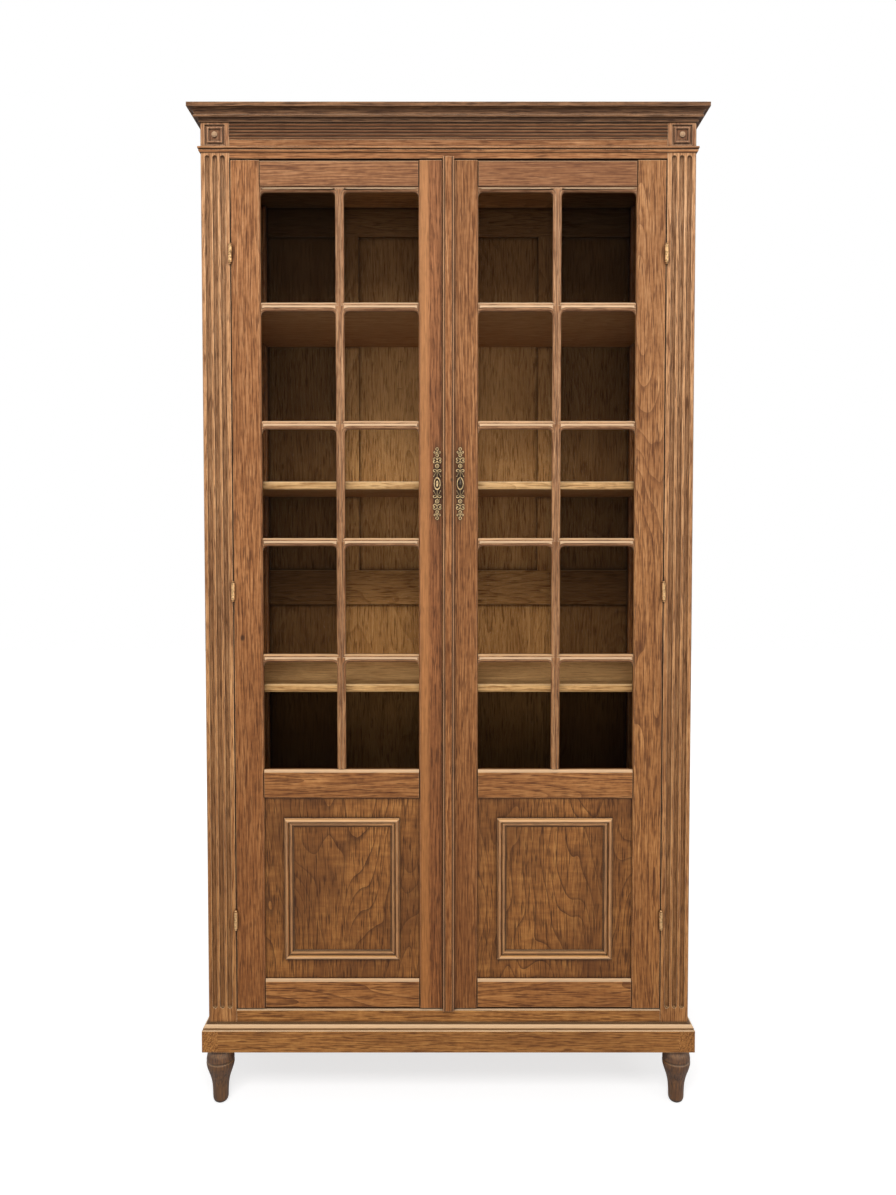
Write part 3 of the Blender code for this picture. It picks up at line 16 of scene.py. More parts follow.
import bmesh
import bpy
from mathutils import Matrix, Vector

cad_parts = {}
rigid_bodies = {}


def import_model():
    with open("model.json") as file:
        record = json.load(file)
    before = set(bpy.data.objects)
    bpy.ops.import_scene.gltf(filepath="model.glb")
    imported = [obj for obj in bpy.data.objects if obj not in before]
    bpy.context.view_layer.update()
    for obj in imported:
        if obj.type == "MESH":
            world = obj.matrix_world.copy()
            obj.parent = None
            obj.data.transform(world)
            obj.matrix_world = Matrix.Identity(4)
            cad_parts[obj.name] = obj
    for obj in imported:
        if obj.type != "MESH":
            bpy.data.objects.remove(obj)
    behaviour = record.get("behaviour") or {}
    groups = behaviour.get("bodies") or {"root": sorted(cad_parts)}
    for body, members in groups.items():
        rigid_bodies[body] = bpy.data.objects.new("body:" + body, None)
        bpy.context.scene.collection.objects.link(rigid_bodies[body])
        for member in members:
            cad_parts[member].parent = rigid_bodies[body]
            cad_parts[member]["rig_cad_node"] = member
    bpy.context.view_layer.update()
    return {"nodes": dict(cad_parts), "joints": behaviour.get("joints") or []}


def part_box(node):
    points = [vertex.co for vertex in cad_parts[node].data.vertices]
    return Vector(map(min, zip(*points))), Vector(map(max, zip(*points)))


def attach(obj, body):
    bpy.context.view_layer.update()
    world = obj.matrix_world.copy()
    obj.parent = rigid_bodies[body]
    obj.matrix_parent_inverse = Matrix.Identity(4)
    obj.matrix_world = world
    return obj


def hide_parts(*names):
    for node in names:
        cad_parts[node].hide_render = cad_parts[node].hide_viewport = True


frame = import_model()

log = logging.getLogger("cabinet")

Colour = tuple[float, float, float, float]
Pair = tuple[float, float]
Point = tuple[float, float, float]
Piece = bpy.types.Object
Node = bpy.types.Node
Socket = bpy.types.NodeSocket
Element = bmesh.types.BMVert | bmesh.types.BMEdge | bmesh.types.BMFace

SIDES: tuple[str, str] = ("left", "right")
HINGES: tuple[str, ...] = ("top", "middle", "bottom")
FACE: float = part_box("left_door_hinge_stile")[0].y
QUARTER_TURN: float = math.pi / 2
SMOOTH_BELOW: float = math.radians(38)
FLAT_WITHIN: float = math.radians(0.4)
SAME_SPOT: float = 0.00001
FACES_FRONT: float = -0.99
FRONT_SKIN: float = 0.0005
NEAR: float = 0.0002
ENDLESS: float = 9.0

# The curve from a screen's stored values to their light: its straight foot, then its bend
SCREEN_FOOT: Pair = (0.04045, 12.92)
SCREEN_LIFT: float = 0.055
SCREEN_CURVE: float = 2.4


def shade(red: int, green: int, blue: int) -> Colour:
    """Turn a colour as it shows on screen into the linear values that shaders take.

    Args:
        red: Red from 0 to 255.
        green: Green from 0 to 255.
        blue: Blue from 0 to 255.

    Returns:
        The linear colour with full opacity.
    """
    parts = []
    for value in (red / 255, green / 255, blue / 255):
        curved = ((value + SCREEN_LIFT) / (1 + SCREEN_LIFT)) ** SCREEN_CURVE
        parts.append(value / SCREEN_FOOT[1] if value <= SCREEN_FOOT[0] else curved)
    return (parts[0], parts[1], parts[2], 1.0)


WHITE: Colour = shade(255, 255, 255)


# Modelling by hand


def choose(piece: Piece) -> None:
    """Select one piece alone and make it the active one.

    Args:
        piece: The piece.
    """
    bpy.ops.object.select_all(action="DESELECT")
    bpy.context.view_layer.objects.active = piece
    piece.select_set(True)


def added() -> Piece:
    """Take up the piece that was just added, with its place, turn and size in its mesh.

    Returns:
        The piece.
    """
    piece = bpy.context.object
    bpy.ops.object.transform_apply(location=True, rotation=True, scale=True)
    return piece


@contextmanager
def on_bench(piece: Piece, kind: str = "FACE") -> Iterator[None]:
    """Open one piece in edit mode with nothing selected, and close it afterwards.

    Args:
        piece: The piece to shape.
        kind: What is selected there: VERT, EDGE or FACE.
    """
    choose(piece)
    bpy.ops.object.mode_set(mode="EDIT")
    bpy.ops.mesh.select_mode(type=kind)
    bpy.ops.mesh.select_all(action="DESELECT")
    try:
        yield
    finally:
        bpy.ops.object.mode_set(mode="OBJECT")


def pick(piece: Piece, kind: str, wanted: Callable[[Element], bool]) -> None:
    """Select the faces, edges or corners of the open piece that pass a test.

    Args:
        piece: The piece that is open in edit mode.
        kind: "faces", "edges" or "verts".
        wanted: The test that each one is put to.
    """
    shape = bmesh.from_edit_mesh(piece.data)
    for item in getattr(shape, kind):
        if wanted(item):
            item.select_set(True)
    bmesh.update_edit_mesh(piece.data)


def runs_level(edge: bmesh.types.BMEdge, front: float) -> bool:
    """Whether an edge lies level in a front face."""
    ends = [corner.co for corner in edge.verts]
    return all(abs(end.y - front) < NEAR for end in ends) and abs(ends[0].z - ends[1].z) < NEAR


def smooth(piece: Piece, below: float = SMOOTH_BELOW) -> Piece:
    """Shade a piece smooth, but for its sharper edges.

    Args:
        piece: The piece.
        below: The angle up to which an edge is smoothed.

    Returns:
        The piece.
    """
    choose(piece)
    bpy.ops.object.shade_smooth_by_angle(angle=below)
    return piece


def settle(piece: Piece, name: str) -> Piece:
    """Name a finished piece and leave its object at the origin with its place in its mesh.

    Args:
        piece: The piece.
        name: Its name.

    Returns:
        The piece.
    """
    choose(piece)
    bpy.ops.object.transform_apply(location=True, rotation=True, scale=True)
    piece.name = name
    piece.data.name = name
    return piece


def take_up(node: str, name: str) -> Piece:
    """Copy a solid's mesh into a new piece, with its loose triangles merged into whole faces.

    Args:
        node: The solid to copy.
        name: The new piece's name.

    Returns:
        The new piece, which stands for the solid.
    """
    source = frame["nodes"][node]
    piece = bpy.data.objects.new(name, source.data.copy())
    piece.data.name = name
    piece.data.materials.clear()
    bpy.context.scene.collection.objects.link(piece)
    with on_bench(piece, "VERT"):
        bpy.ops.mesh.select_all(action="SELECT")
        bpy.ops.mesh.remove_doubles(threshold=SAME_SPOT)
        bpy.ops.mesh.customdata_custom_splitnormals_clear()
        bpy.ops.mesh.dissolve_limited(angle_limit=FLAT_WITHIN)
    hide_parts(node)
    return piece


def saw(piece: Piece, place: Point, facing: Point, drop: bool = False) -> None:
    """Cut a piece along a plane.

    Args:
        piece: The piece to cut.
        place: A point on the plane.
        facing: The plane's normal.
        drop: Whether what lies on the normal's side falls away and the cut is closed.
    """
    with on_bench(piece):
        bpy.ops.mesh.select_all(action="SELECT")
        bpy.ops.mesh.bisect(plane_co=place, plane_no=facing, use_fill=drop, clear_outer=drop)


def draw(points: Sequence[Point], close: bool) -> Piece:
    """Draw a line of points by moving one corner on from place to place.

    Args:
        points: The places it passes.
        close: Whether the line is closed and filled to make a face.

    Returns:
        The line or face as a new piece.
    """
    bpy.ops.object.select_all(action="DESELECT")
    bpy.ops.mesh.primitive_plane_add(size=0.01, location=points[0])
    piece = bpy.context.object
    with on_bench(piece, "VERT"):
        bpy.ops.mesh.select_all(action="SELECT")
        bpy.ops.mesh.merge(type="CENTER")
        for before, after in zip(points, points[1:]):
            step = [b - a for a, b in zip(before, after)]
            bpy.ops.mesh.extrude_region_move(TRANSFORM_OT_translate={"value": step})
        if close:
            bpy.ops.mesh.select_all(action="SELECT")
            bpy.ops.mesh.edge_face_add()
    return piece


def turn_on_lathe(profile: Sequence[Pair], centre: Point, steps: int) -> Piece:
    """Turn a profile once round an upright axis.

    Args:
        profile: Radius and height of each point, from the lower to the upper end.
        centre: A point on the axis, from which the heights count.
        steps: How many faces go round.

    Returns:
        The turned piece, closed at both ends.
    """
    line = [(centre[0] + radius, centre[1], centre[2] + height) for radius, height in profile]
    start, stop = [(centre[0], centre[1], end[2]) for end in (line[0], line[-1])]
    piece = draw([start, *line, stop], False)
    with on_bench(piece, "VERT"):
        bpy.ops.mesh.select_all(action="SELECT")
        bpy.ops.mesh.spin(steps=steps, angle=2 * math.pi, center=centre, axis=(0, 0, 1))
        bpy.ops.mesh.select_all(action="SELECT")
        bpy.ops.mesh.remove_doubles(threshold=SAME_SPOT)
        bpy.ops.mesh.normals_make_consistent(inside=False)
    return piece


def block(low: Point, high: Point) -> Piece:
    """Add a rectangular block, as a start for something finer.

    Args:
        low: Its lowest corner.
        high: Its highest corner.

    Returns:
        The block.
    """
    middle = [(a + b) / 2 for a, b in zip(low, high)]
    size = [b - a for a, b in zip(low, high)]
    bpy.ops.object.select_all(action="DESELECT")
    bpy.ops.mesh.primitive_cube_add(size=1, location=middle, scale=size)
    return added()


def unite(pieces: Sequence[Piece], name: str) -> Piece:
    """Join several pieces into one object, with its place in its mesh.

    Args:
        pieces: Two pieces or more.
        name: The name of the whole.

    Returns:
        The whole.
    """
    bpy.ops.object.select_all(action="DESELECT")
    for piece in pieces:
        piece.select_set(True)
    bpy.context.view_layer.objects.active = pieces[0]
    bpy.ops.object.join()
    return settle(bpy.context.view_layer.objects.active, name)


def flow(points: Sequence[Pair], between: int) -> list[Pair]:
    """Draw an even curve through some points.

    Args:
        points: The points that it passes.
        between: How many steps lead from each point to the next.

    Returns:
        The finer row of points.
    """
    ends = [points[0], *points, points[-1]]
    fine: list[Pair] = []
    for four in zip(ends, ends[1:], ends[2:], ends[3:]):
        for step in range(between):
            t = step / between
            shares = (
                -t + 2 * t**2 - t**3,
                2 - 5 * t**2 + 3 * t**3,
                t + 4 * t**2 - 3 * t**3,
                t**3 - t**2,
            )
            across, up = [sum(a * b for a, b in zip(shares, row)) / 2 for row in zip(*four)]
            fine.append((across, up))
    return [*fine, points[-1]]


# Finishes


class Run(Enum):
    """The way the grain of a piece runs."""

    ACROSS = (0.0, -QUARTER_TURN, 0.0)
    DEEP = (QUARTER_TURN, 0.0, 0.0)
    UPRIGHT = (0.0, 0.0, 0.0)


@dataclass(frozen=True)
class Rings:
    """How growth rings lie in a board.

    Attributes:
        across: How many lie side by side in a metre.
        change: How fast they change along the grain.
        swing: How far they swing.
        line: Which share of each is its dark line.
        shading: How much each one shades off.
        rippling: How strongly ripples run across the grain.
    """

    across: float
    change: float
    swing: float
    line: float
    shading: float
    rippling: float


class Figure(Enum):
    """How the growth rings show on a board's face."""

    STRAIGHT = Rings(140.0, 0.16, 9.0, 0.34, 0.35, 0.0)
    ARCHED = Rings(30.0, 0.14, 26.0, 0.20, 0.5, 0.3)
    CLOUDED = Rings(30.0, 0.34, 15.0, 0.17, 0.5, 2.2)


@dataclass(frozen=True)
class Layer:
    """One cloud of noise in a finish.

    Attributes:
        stretch: How many swells it has to a metre, along each axis.
        detail: How many finer clouds lie in it.
        rough: How strong those are.
        strength: How strongly it shows.
    """

    stretch: Point
    detail: float = 2.0
    rough: float = 0.6
    strength: float = 1.0


VEINS = Layer((400.0, 400.0, 13.0), strength=3.0)
GRAIN: tuple[Layer, ...] = (
    Layer((240.0, 240.0, 8.0), strength=1.2),
    VEINS,
    Layer((42.0, 42.0, 2.4), 3.0, strength=0.9),
    Layer((110.0, 110.0, 80.0), 3.0, 0.65, 1.1),
)
RIPPLES = Layer((16.0, 16.0, 85.0), 3.0)
PATCHES = Layer((7.0, 7.0, 2.6), 3.0)
PORES = Layer((370.0, 370.0, 26.0), 1.5, 0.5, 0.75)

# How the wood's pattern lies. A board takes up the pattern elsewhere by its number, and most
# pairs say where in a cloud a mark begins and where it is full.
BOARD_SHIFTS: tuple[Pair, ...] = ((1.37, 7.1), (2.91, 6.3), (4.73, 9.7))
RING_SLANT: float = 0.6
RING_HILLS: Point = (7.0, 1.6, 0.42)
DRIFT: Pair = (4.5, 0.09)
PALEST_LINE: float = 0.45
TONE_REACH: float = 0.98
STAINED: Pair = (0.42, 0.70)
LINED: Pair = (0.3, 0.6)
OPEN_PORES: Pair = (0.54, 0.66)

# Where wear, dirt, painted highlights and painted shade lie, by how far a surface faces a way, from -1 to 1,
# and how strong they are
FACES_UP: Pair = (0.2, 0.55)
FACES_DOWN: Pair = (-0.2, -0.6)
NOT_LEVEL: Pair = (0.98, 0.90)
NOT_UNDER: Pair = (-0.98, -0.90)
UNDER: Pair = (-0.90, -0.98)
FACES_ELSEWHERE: Pair = (0.5, 0.0)
EDGE_TURNS: Pair = (0.99, 0.76)
EDGE_LIT_FROM_ABOVE: tuple[float, ...] = (-0.1, 0.6, 0.4, 1.0)
CORNER_SHUTS: Pair = (0.93, 0.42)
LEDGE_WEAR_AND_HIGHLIGHT: float = 0.6
DOWNWARD_SHADE: float = 0.4
LIT_MOST: float = 0.8
SHADED_MOST: float = 0.85
MARK_FADES: Pair = (1.0, 0.45)
MARK_ENDS: float = 0.0005


class Tree:
    """A node tree, with short ways to add to it."""

    def __init__(self, tree: bpy.types.NodeTree) -> None:
        """Take up the tree."""
        self.tree = tree

    def put(self, socket: Socket, value: object) -> None:
        """Link a socket to another, or set its value.

        Args:
            socket: The input socket.
            value: The output socket or the value that it takes.
        """
        if isinstance(value, bpy.types.NodeSocket):
            self.tree.links.new(value, socket)
        else:
            socket.default_value = value

    def node(self, kind: str, values: dict[str | int, object] | None = None, **settings: object) -> Node:
        """Add a node.

        Args:
            kind: The node's type, without the words that all of them start with.
            values: What its input sockets take, by name or number.
            **settings: The node's own settings.

        Returns:
            The node.
        """
        made = self.tree.nodes.new("ShaderNode" + kind)
        for key, value in settings.items():
            setattr(made, key, value)
        for key, value in (values or {}).items():
            self.put(made.inputs[key], value)
        return made

    def sum(
        self, operation: str, first: object, second: object = 0.0, third: object = 0.0, clamp: bool = False
    ) -> Socket:
        """Work out one number from up to three."""
        values = {0: first, 1: second, 2: third}
        return self.node("Math", values, operation=operation, use_clamp=clamp).outputs[0]

    def product(self, first: object, second: object) -> Socket:
        """Multiply two numbers."""
        return self.sum("MULTIPLY", first, second)

    def arrow(self, operation: str, first: object, second: object) -> Socket:
        """Work out one vector from two."""
        return self.node("VectorMath", {0: first, 1: second}, operation=operation).outputs[0]

    def split(self, arrow: Socket) -> bpy.types.NodeOutputs:
        """Split a vector into its X, Y and Z."""
        return self.node("SeparateXYZ", {0: arrow}).outputs

    def noise(self, place: Socket, layer: Layer) -> Node:
        """Add a cloud of noise.

        Args:
            place: Where it is read.
            layer: How it looks.

        Returns:
            The noise node.
        """
        spot = self.arrow("MULTIPLY", place, layer.stretch)
        values = {"Vector": spot, "Scale": 1.0, "Detail": layer.detail, "Roughness": layer.rough}
        return self.node("TexNoise", values)

    def cloud(self, place: Socket, layer: Layer) -> Socket:
        """The height of a cloud of noise at a place."""
        return self.noise(place, layer).outputs["Fac"]

    def marked(self, name: str) -> Socket:
        """The number that a piece's faces or corners carry under a name."""
        return self.node("Attribute", attribute_name=name).outputs["Fac"]

    def ramp(self, value: Socket, stops: Sequence[tuple[float, Colour]]) -> Socket:
        """Turn a number into a colour that changes from stop to stop.

        Args:
            value: The number, from 0 to 1.
            stops: Each stop's number and its colour.

        Returns:
            The colour.
        """
        made = self.node("ValToRGB", {0: value})
        marks = made.color_ramp.elements
        while len(marks) < len(stops):
            marks.new(0.5)
        for mark, (place, colour) in zip(marks, stops):
            mark.position = place
            mark.color = colour
        return made.outputs["Color"]

    def span(self, value: Socket, low: float, high: float, start: float = 0.0, stop: float = 1.0) -> Socket:
        """Stretch a number's range from low..high to start..stop, and hold it there."""
        names = {"Value": value, "From Min": low, "From Max": high, "To Min": start, "To Max": stop}
        return self.node("MapRange", names).outputs["Result"]

    def mix(self, share: object, first: object, second: object, way: str = "MIX") -> Socket:
        """Mix two colours.

        Args:
            share: The second colour's share.
            first: The first colour.
            second: The second colour.
            way: How they are mixed.

        Returns:
            The mixed colour.
        """
        made = self.node("Mix", data_type="RGBA", blend_type=way, clamp_factor=True)
        for socket, value in ((made.inputs[0], share), (made.inputs[6], first), (made.inputs[7], second)):
            self.put(socket, value)
        return made.outputs[2]

    def mix_places(self, share: Socket, first: Socket, second: Socket) -> Socket:
        """Mix two vectors.

        Args:
            share: The second vector's share.
            first: The first vector.
            second: The second vector.

        Returns:
            The mixed vector.
        """
        made = self.node("Mix", data_type="VECTOR")
        for socket, value in ((made.inputs[0], share), (made.inputs[4], first), (made.inputs[5], second)):
            self.put(socket, value)
        return made.outputs[1]


class Desk(Tree):
    """The node tree of one material."""

    def __init__(self, name: str) -> None:
        """Start a material with a Principled shader on its output.

        Args:
            name: The material's name.
        """
        self.material = bpy.data.materials.new(name)
        self.material.use_nodes = True
        super().__init__(self.material.node_tree)
        self.shader = self.tree.nodes["Principled BSDF"]
        self.output = self.tree.nodes["Material Output"]

    def give(self, values: dict[str, object]) -> None:
        """Set or link sockets of the shader, by name."""
        for name, value in values.items():
            self.put(self.shader.inputs[name], value)

    def cover(self, piece: Piece) -> None:
        """Make this the piece's only material."""
        piece.data.materials.clear()
        piece.data.materials.append(self.material)

    def place(self) -> Socket:
        """The place on the piece."""
        return self.node("TexCoord").outputs["Object"]

    def rounded(self, reach: float) -> Socket:
        """The way a surface faces, with its edges rounded by a radius."""
        return self.node("Bevel", {"Radius": reach}, samples=4).outputs[0]

    def worn_and_lit_edges(self, rounded: Socket) -> Socket:
        """How far a spot lies on a rounded edge, for its wear and for a painted highlight, most of all where
        the edge faces up.

        Args:
            rounded: The way the rounded surface faces.

        Returns:
            The wear and painted highlight, from 0 to 1.
        """
        plain = self.node("NewGeometry").outputs["Normal"]
        dot = self.node("VectorMath", {0: rounded, 1: plain}, operation="DOT_PRODUCT").outputs["Value"]
        upwards = self.span(self.split(rounded)["Z"], *EDGE_LIT_FROM_ABOVE)
        return self.product(self.span(dot, *EDGE_TURNS), upwards)

    def corners(self, reach: float) -> Socket:
        """How deep a spot lies in a corner, from 0 in the open to 1."""
        openness = self.node("AmbientOcclusion", {"Distance": reach}, samples=6).outputs["AO"]
        return self.span(openness, *CORNER_SHUTS)

    def lay_bump(self, height: Socket, depth: float, rounded: Socket) -> None:
        """Raise the surface by a height, over its rounded edges."""
        values = {"Height": height, "Distance": depth, "Strength": 1.0, "Normal": rounded}
        self.give({"Normal": self.node("Bump", values).outputs[0]})


@dataclass(frozen=True)
class Mark:
    """A knot, crack, stain or worn spot on the front of a piece, or a patch of painted shade or painted light
    there.

    Attributes:
        place: Its middle, as x and z.
        size: Half its width and height.
        depth: How strongly it shows.
        tint: Its colour.
    """

    place: Pair
    size: Pair
    depth: float = 0.8
    tint: Colour = shade(46, 26, 12)


@dataclass(frozen=True)
class Oak:
    """Old waxed oak: growth rings, fibres, pores, stains, worn edges with painted highlights, and dirt and
    painted shade in corners.

    Attributes:
        light: The palest wood between the rings.
        middle: The usual colour.
        dark: The rings and pores.
        stain: What the broad patches lean towards.
        rubbed_and_lit: The colour of the worn edges, and of the painted highlights on edges, slopes and
            crowns.
        hollow_shade: The painted shade in grooves and hollows.
        corner_dirt_and_shade: The dirt and painted shade in the deepest corners.
        shadow: The colour of the painted shadow behind the hinge stiles.
        low_tint: What the wood is multiplied by near the floor, which makes it darker and warmer there.
        low_tint_heights: From which height down it is, and where fully.
        behind_stiles: How far from the middle the painted shadow behind the hinge stiles begins, and is full.
        figure: How the rings show.
        contrast: How strongly the pattern shows.
        lines: How dark the lines of the rings are.
        staining: How strongly the patches show.
        wear: How pale the edges are worn, with a painted highlight on those that face up.
        dirt_and_shade: How dark the dirt and painted shade in the corners are, and the painted shade on
            slopes that face down.
        side_shade: How strong the painted shadow behind the hinge stiles is.
        underside_shade: How strong the painted shade on its underside is.
        roughness: How matt the wax is.
        gloss: The share of the usual reflection that the wood has.
        edge: The radius of its worn edges and their painted highlight.
        corner: How far the dirt and painted shade in its corners reach.
        pores: How deep its pores are.
    """

    light: Colour = shade(204, 150, 104)
    middle: Colour = shade(162, 108, 66)
    dark: Colour = shade(84, 46, 22)
    stain: Colour = shade(112, 66, 34)
    rubbed_and_lit: Colour = shade(236, 200, 160)
    hollow_shade: Colour = shade(44, 24, 12)
    corner_dirt_and_shade: Colour = shade(30, 14, 6)
    shadow: Colour = shade(34, 13, 3)
    low_tint: Colour = (0.86, 0.735, 0.49, 1.0)
    low_tint_heights: Pair = (2.0, 0.35)
    behind_stiles: Pair = (0.264, 0.308)
    figure: Figure = Figure.STRAIGHT
    contrast: float = 1.0
    lines: float = 0.4
    staining: float = 0.5
    wear: float = 0.75
    dirt_and_shade: float = 0.9
    side_shade: float = 0.0
    underside_shade: float = 0.0
    roughness: float = 0.50
    gloss: float = 0.4
    edge: float = 0.0026
    corner: float = 0.011
    pores: float = 0.0003

    def dress(
        self,
        piece: Piece,
        run: Run,
        seed: int,
        turned: Run | None = None,
        slot: str = "oak",
        marks: Sequence[Mark] = (),
    ) -> Piece:
        """Give a piece this wood, with the grain along it.

        Args:
            piece: The piece, or a solid that is kept as it is.
            run: The way the grain runs.
            seed: Which board it was cut from.
            turned: The way it runs on faces marked as turned, if any.
            slot: The record's material slot of the wood; not used.
            marks: Knots, cracks, stains and worn spots, and patches of painted shade and painted light.

        Returns:
            The piece.
        """
        desk = Desk(f"oak_{piece.name}")
        place = desk.place()
        grain = self.along(desk, place, run, seed)
        if turned is not None:
            grain = desk.mix_places(desk.marked("turned"), grain, self.along(desk, place, turned, seed + 1))
        rounded = desk.rounded(self.edge)
        colour, height = self.pattern(desk, grain)
        colour = self.age(desk, piece, colour, place, rounded, marks)
        dull = desk.span(height, -0.5, 0.5, self.roughness + 0.12, self.roughness - 0.05)
        desk.give({"Base Color": colour, "Roughness": dull, "Specular IOR Level": self.gloss})
        desk.lay_bump(height, self.pores, rounded)
        desk.cover(piece)
        return piece

    def along(self, desk: Desk, place: Socket, run: Run, seed: int) -> Socket:
        """Turn the pattern so that its length lies along the grain.

        Args:
            desk: The material's tree.
            place: The place on the piece.
            run: The way the grain runs.
            seed: Which board it was cut from.

        Returns:
            The turned place, shifted to a part of the pattern of its own.
        """
        shift = tuple(seed * step % whole for step, whole in BOARD_SHIFTS)
        values = {"Vector": place, "Location": shift, "Rotation": run.value}
        return desk.node("Mapping", values).outputs[0]

    def pattern(self, desk: Desk, grain: Socket) -> tuple[Socket, Socket]:
        """Draw the wood's own pattern.

        Args:
            desk: The material's tree.
            grain: The place along the grain.

        Returns:
            Its colour, and its height from about -0.5 to 0.5.
        """
        rings = self.figure.value
        bent = self.bend(desk, grain, rings.change)
        spot = desk.split(bent)
        scale, detail, rough = RING_HILLS
        hills = desk.cloud(bent, Layer((scale, scale, scale * rings.change), detail, rough))
        level = desk.sum("MULTIPLY_ADD", spot["Y"], RING_SLANT, spot["X"])
        level = desk.sum("MULTIPLY_ADD", level, rings.across, desk.product(hills, rings.swing))
        ring = desk.sum("FRACT", level)
        clouds = {layer: desk.cloud(bent, layer) for layer in GRAIN}
        tone = desk.product(ring, rings.shading)
        for layer, cloud in clouds.items():
            tone = desk.sum("MULTIPLY_ADD", cloud, layer.strength, tone)
        if rings.rippling:
            ripple = desk.sum("SUBTRACT", desk.cloud(bent, RIPPLES), 0.5)
            tone = desk.sum("MULTIPLY_ADD", ripple, rings.rippling, tone)
        middle = (sum(layer.strength for layer in GRAIN) + rings.shading) / 2
        half = TONE_REACH / self.contrast
        tone = desk.span(tone, middle - half, middle + half)
        colour = desk.ramp(tone, ((0.0, self.dark), (0.5, self.middle), (1.0, self.light)))
        patch = desk.cloud(grain, PATCHES)
        colour = desk.mix(desk.span(patch, *STAINED, 0.0, self.staining), colour, self.stain)
        line = desk.span(ring, 0.0, rings.line, 1.0, 0.0)
        line = desk.product(line, desk.span(patch, *LINED, 1.0, PALEST_LINE))
        colour = desk.mix(desk.product(line, self.lines), colour, self.dark)
        pores = desk.span(desk.cloud(bent, PORES), *OPEN_PORES)
        colour = desk.mix(desk.product(pores, PORES.strength), colour, self.dark)
        return colour, desk.sum("SUBTRACT", desk.sum("SUBTRACT", clouds[VEINS], 0.5), pores)

    def bend(self, desk: Desk, grain: Socket, change: float) -> Socket:
        """Let the grain wander a little to both sides.

        Args:
            desk: The material's tree.
            grain: The place along the grain.
            change: How fast the rings change; the faster, the more the grain wanders.

        Returns:
            The place along the bent grain.
        """
        scale, reach = DRIFT
        drift = desk.noise(grain, Layer((scale, scale, scale * change), rough=0.5)).outputs["Color"]
        drift = desk.arrow("SUBTRACT", drift, (0.5, 0.5, 0.5))
        drift = desk.arrow("MULTIPLY", drift, (reach * change, reach * change, 0))
        return desk.arrow("ADD", grain, drift)

    def age(
        self, desk: Desk, piece: Piece, colour: Socket, place: Socket, rounded: Socket, marks: Sequence[Mark]
    ) -> Socket:
        """Lay the marks of age, painted highlights and painted shade over the pattern.

        Args:
            desk: The material's tree.
            piece: The piece, whose faces may be marked for painted highlights with wear and for painted
                shade.
            colour: The wood's own colour.
            place: The place on the piece.
            rounded: The way the rounded surface faces.
            marks: Knots, cracks, stains and worn spots, and patches of painted shade and painted light.

        Returns:
            The aged colour.
        """
        spot = desk.split(place)
        facing = desk.split(desk.node("NewGeometry").outputs["Normal"])
        colour = self.slopes(desk, colour, facing["Z"])
        depths = [corner[1] for corner in piece.bound_box]
        halfway = (min(depths) + max(depths)) / 2
        in_front = desk.span(spot["Y"], halfway + MARK_ENDS, halfway)
        # Marks, some of them patches of painted shade and painted light
        for mark in marks:
            away = desk.sum("DIVIDE", desk.sum("SUBTRACT", spot["X"], mark.place[0]), mark.size[0])
            up = desk.sum("DIVIDE", desk.sum("SUBTRACT", spot["Z"], mark.place[1]), mark.size[1])
            far = desk.sum("SQRT", desk.sum("MULTIPLY_ADD", away, away, desk.product(up, up)))
            share = desk.product(desk.span(far, *MARK_FADES, 0.0, mark.depth), in_front)
            colour = desk.mix(share, colour, mark.tint)
        # Darker and warmer towards the floor
        colour = desk.mix(desk.span(spot["Z"], *self.low_tint_heights), colour, self.low_tint, "MULTIPLY")
        # Painted shadow behind the hinge stiles, on faces that look neither backwards nor up
        if self.side_shade:
            out = desk.span(desk.sum("ABSOLUTE", spot["X"]), *self.behind_stiles, 0.0, self.side_shade)
            forwards = desk.span(facing["Y"], *FACES_ELSEWHERE)
            within = desk.product(forwards, desk.span(facing["Z"], *FACES_ELSEWHERE))
            colour = desk.mix(desk.product(out, within), colour, self.shadow)
        # Worn edges, with a painted highlight strongest where they face up
        colour = desk.mix(desk.product(desk.worn_and_lit_edges(rounded), self.wear), colour, self.rubbed_and_lit)
        # Painted highlights with wear, and painted shade, on the faces marked for them
        if "weather" in piece.data.attributes:
            faces = desk.marked("weather")
            colour = desk.mix(desk.span(faces, 0.0, 1.0, 0.0, LIT_MOST), colour, self.rubbed_and_lit)
            colour = desk.mix(desk.span(faces, 0.0, -1.0, 0.0, SHADED_MOST), colour, self.hollow_shade)
        # Dirt and painted shade in the corners
        return desk.mix(desk.product(desk.corners(self.corner), self.dirt_and_shade), colour, self.corner_dirt_and_shade)

    def slopes(self, desk: Desk, colour: Socket, tilt: Socket) -> Socket:
        """Wear the slopes that face up and give them a painted highlight, and give painted shade to those
        that face down and to the underside.

        Args:
            desk: The material's tree.
            colour: The wood's colour.
            tilt: How far the surface faces up, from -1 to 1.

        Returns:
            The colour with its slopes worn, lit and shaded.
        """
        # Wear with a painted highlight on slopes that face up
        ledge = desk.product(desk.span(tilt, *FACES_UP), desk.span(tilt, *NOT_LEVEL))
        colour = desk.mix(desk.product(ledge, LEDGE_WEAR_AND_HIGHLIGHT * self.wear), colour, self.rubbed_and_lit)
        # Painted shade on slopes that face down
        under = desk.product(desk.span(tilt, *FACES_DOWN), desk.span(tilt, *NOT_UNDER))
        colour = desk.mix(desk.product(under, DOWNWARD_SHADE * self.dirt_and_shade), colour, self.dark)
        # Painted shade on the underside
        if self.underside_shade:
            colour = desk.mix(desk.span(tilt, *UNDER, 0.0, self.underside_shade), colour, self.dark)
        return colour


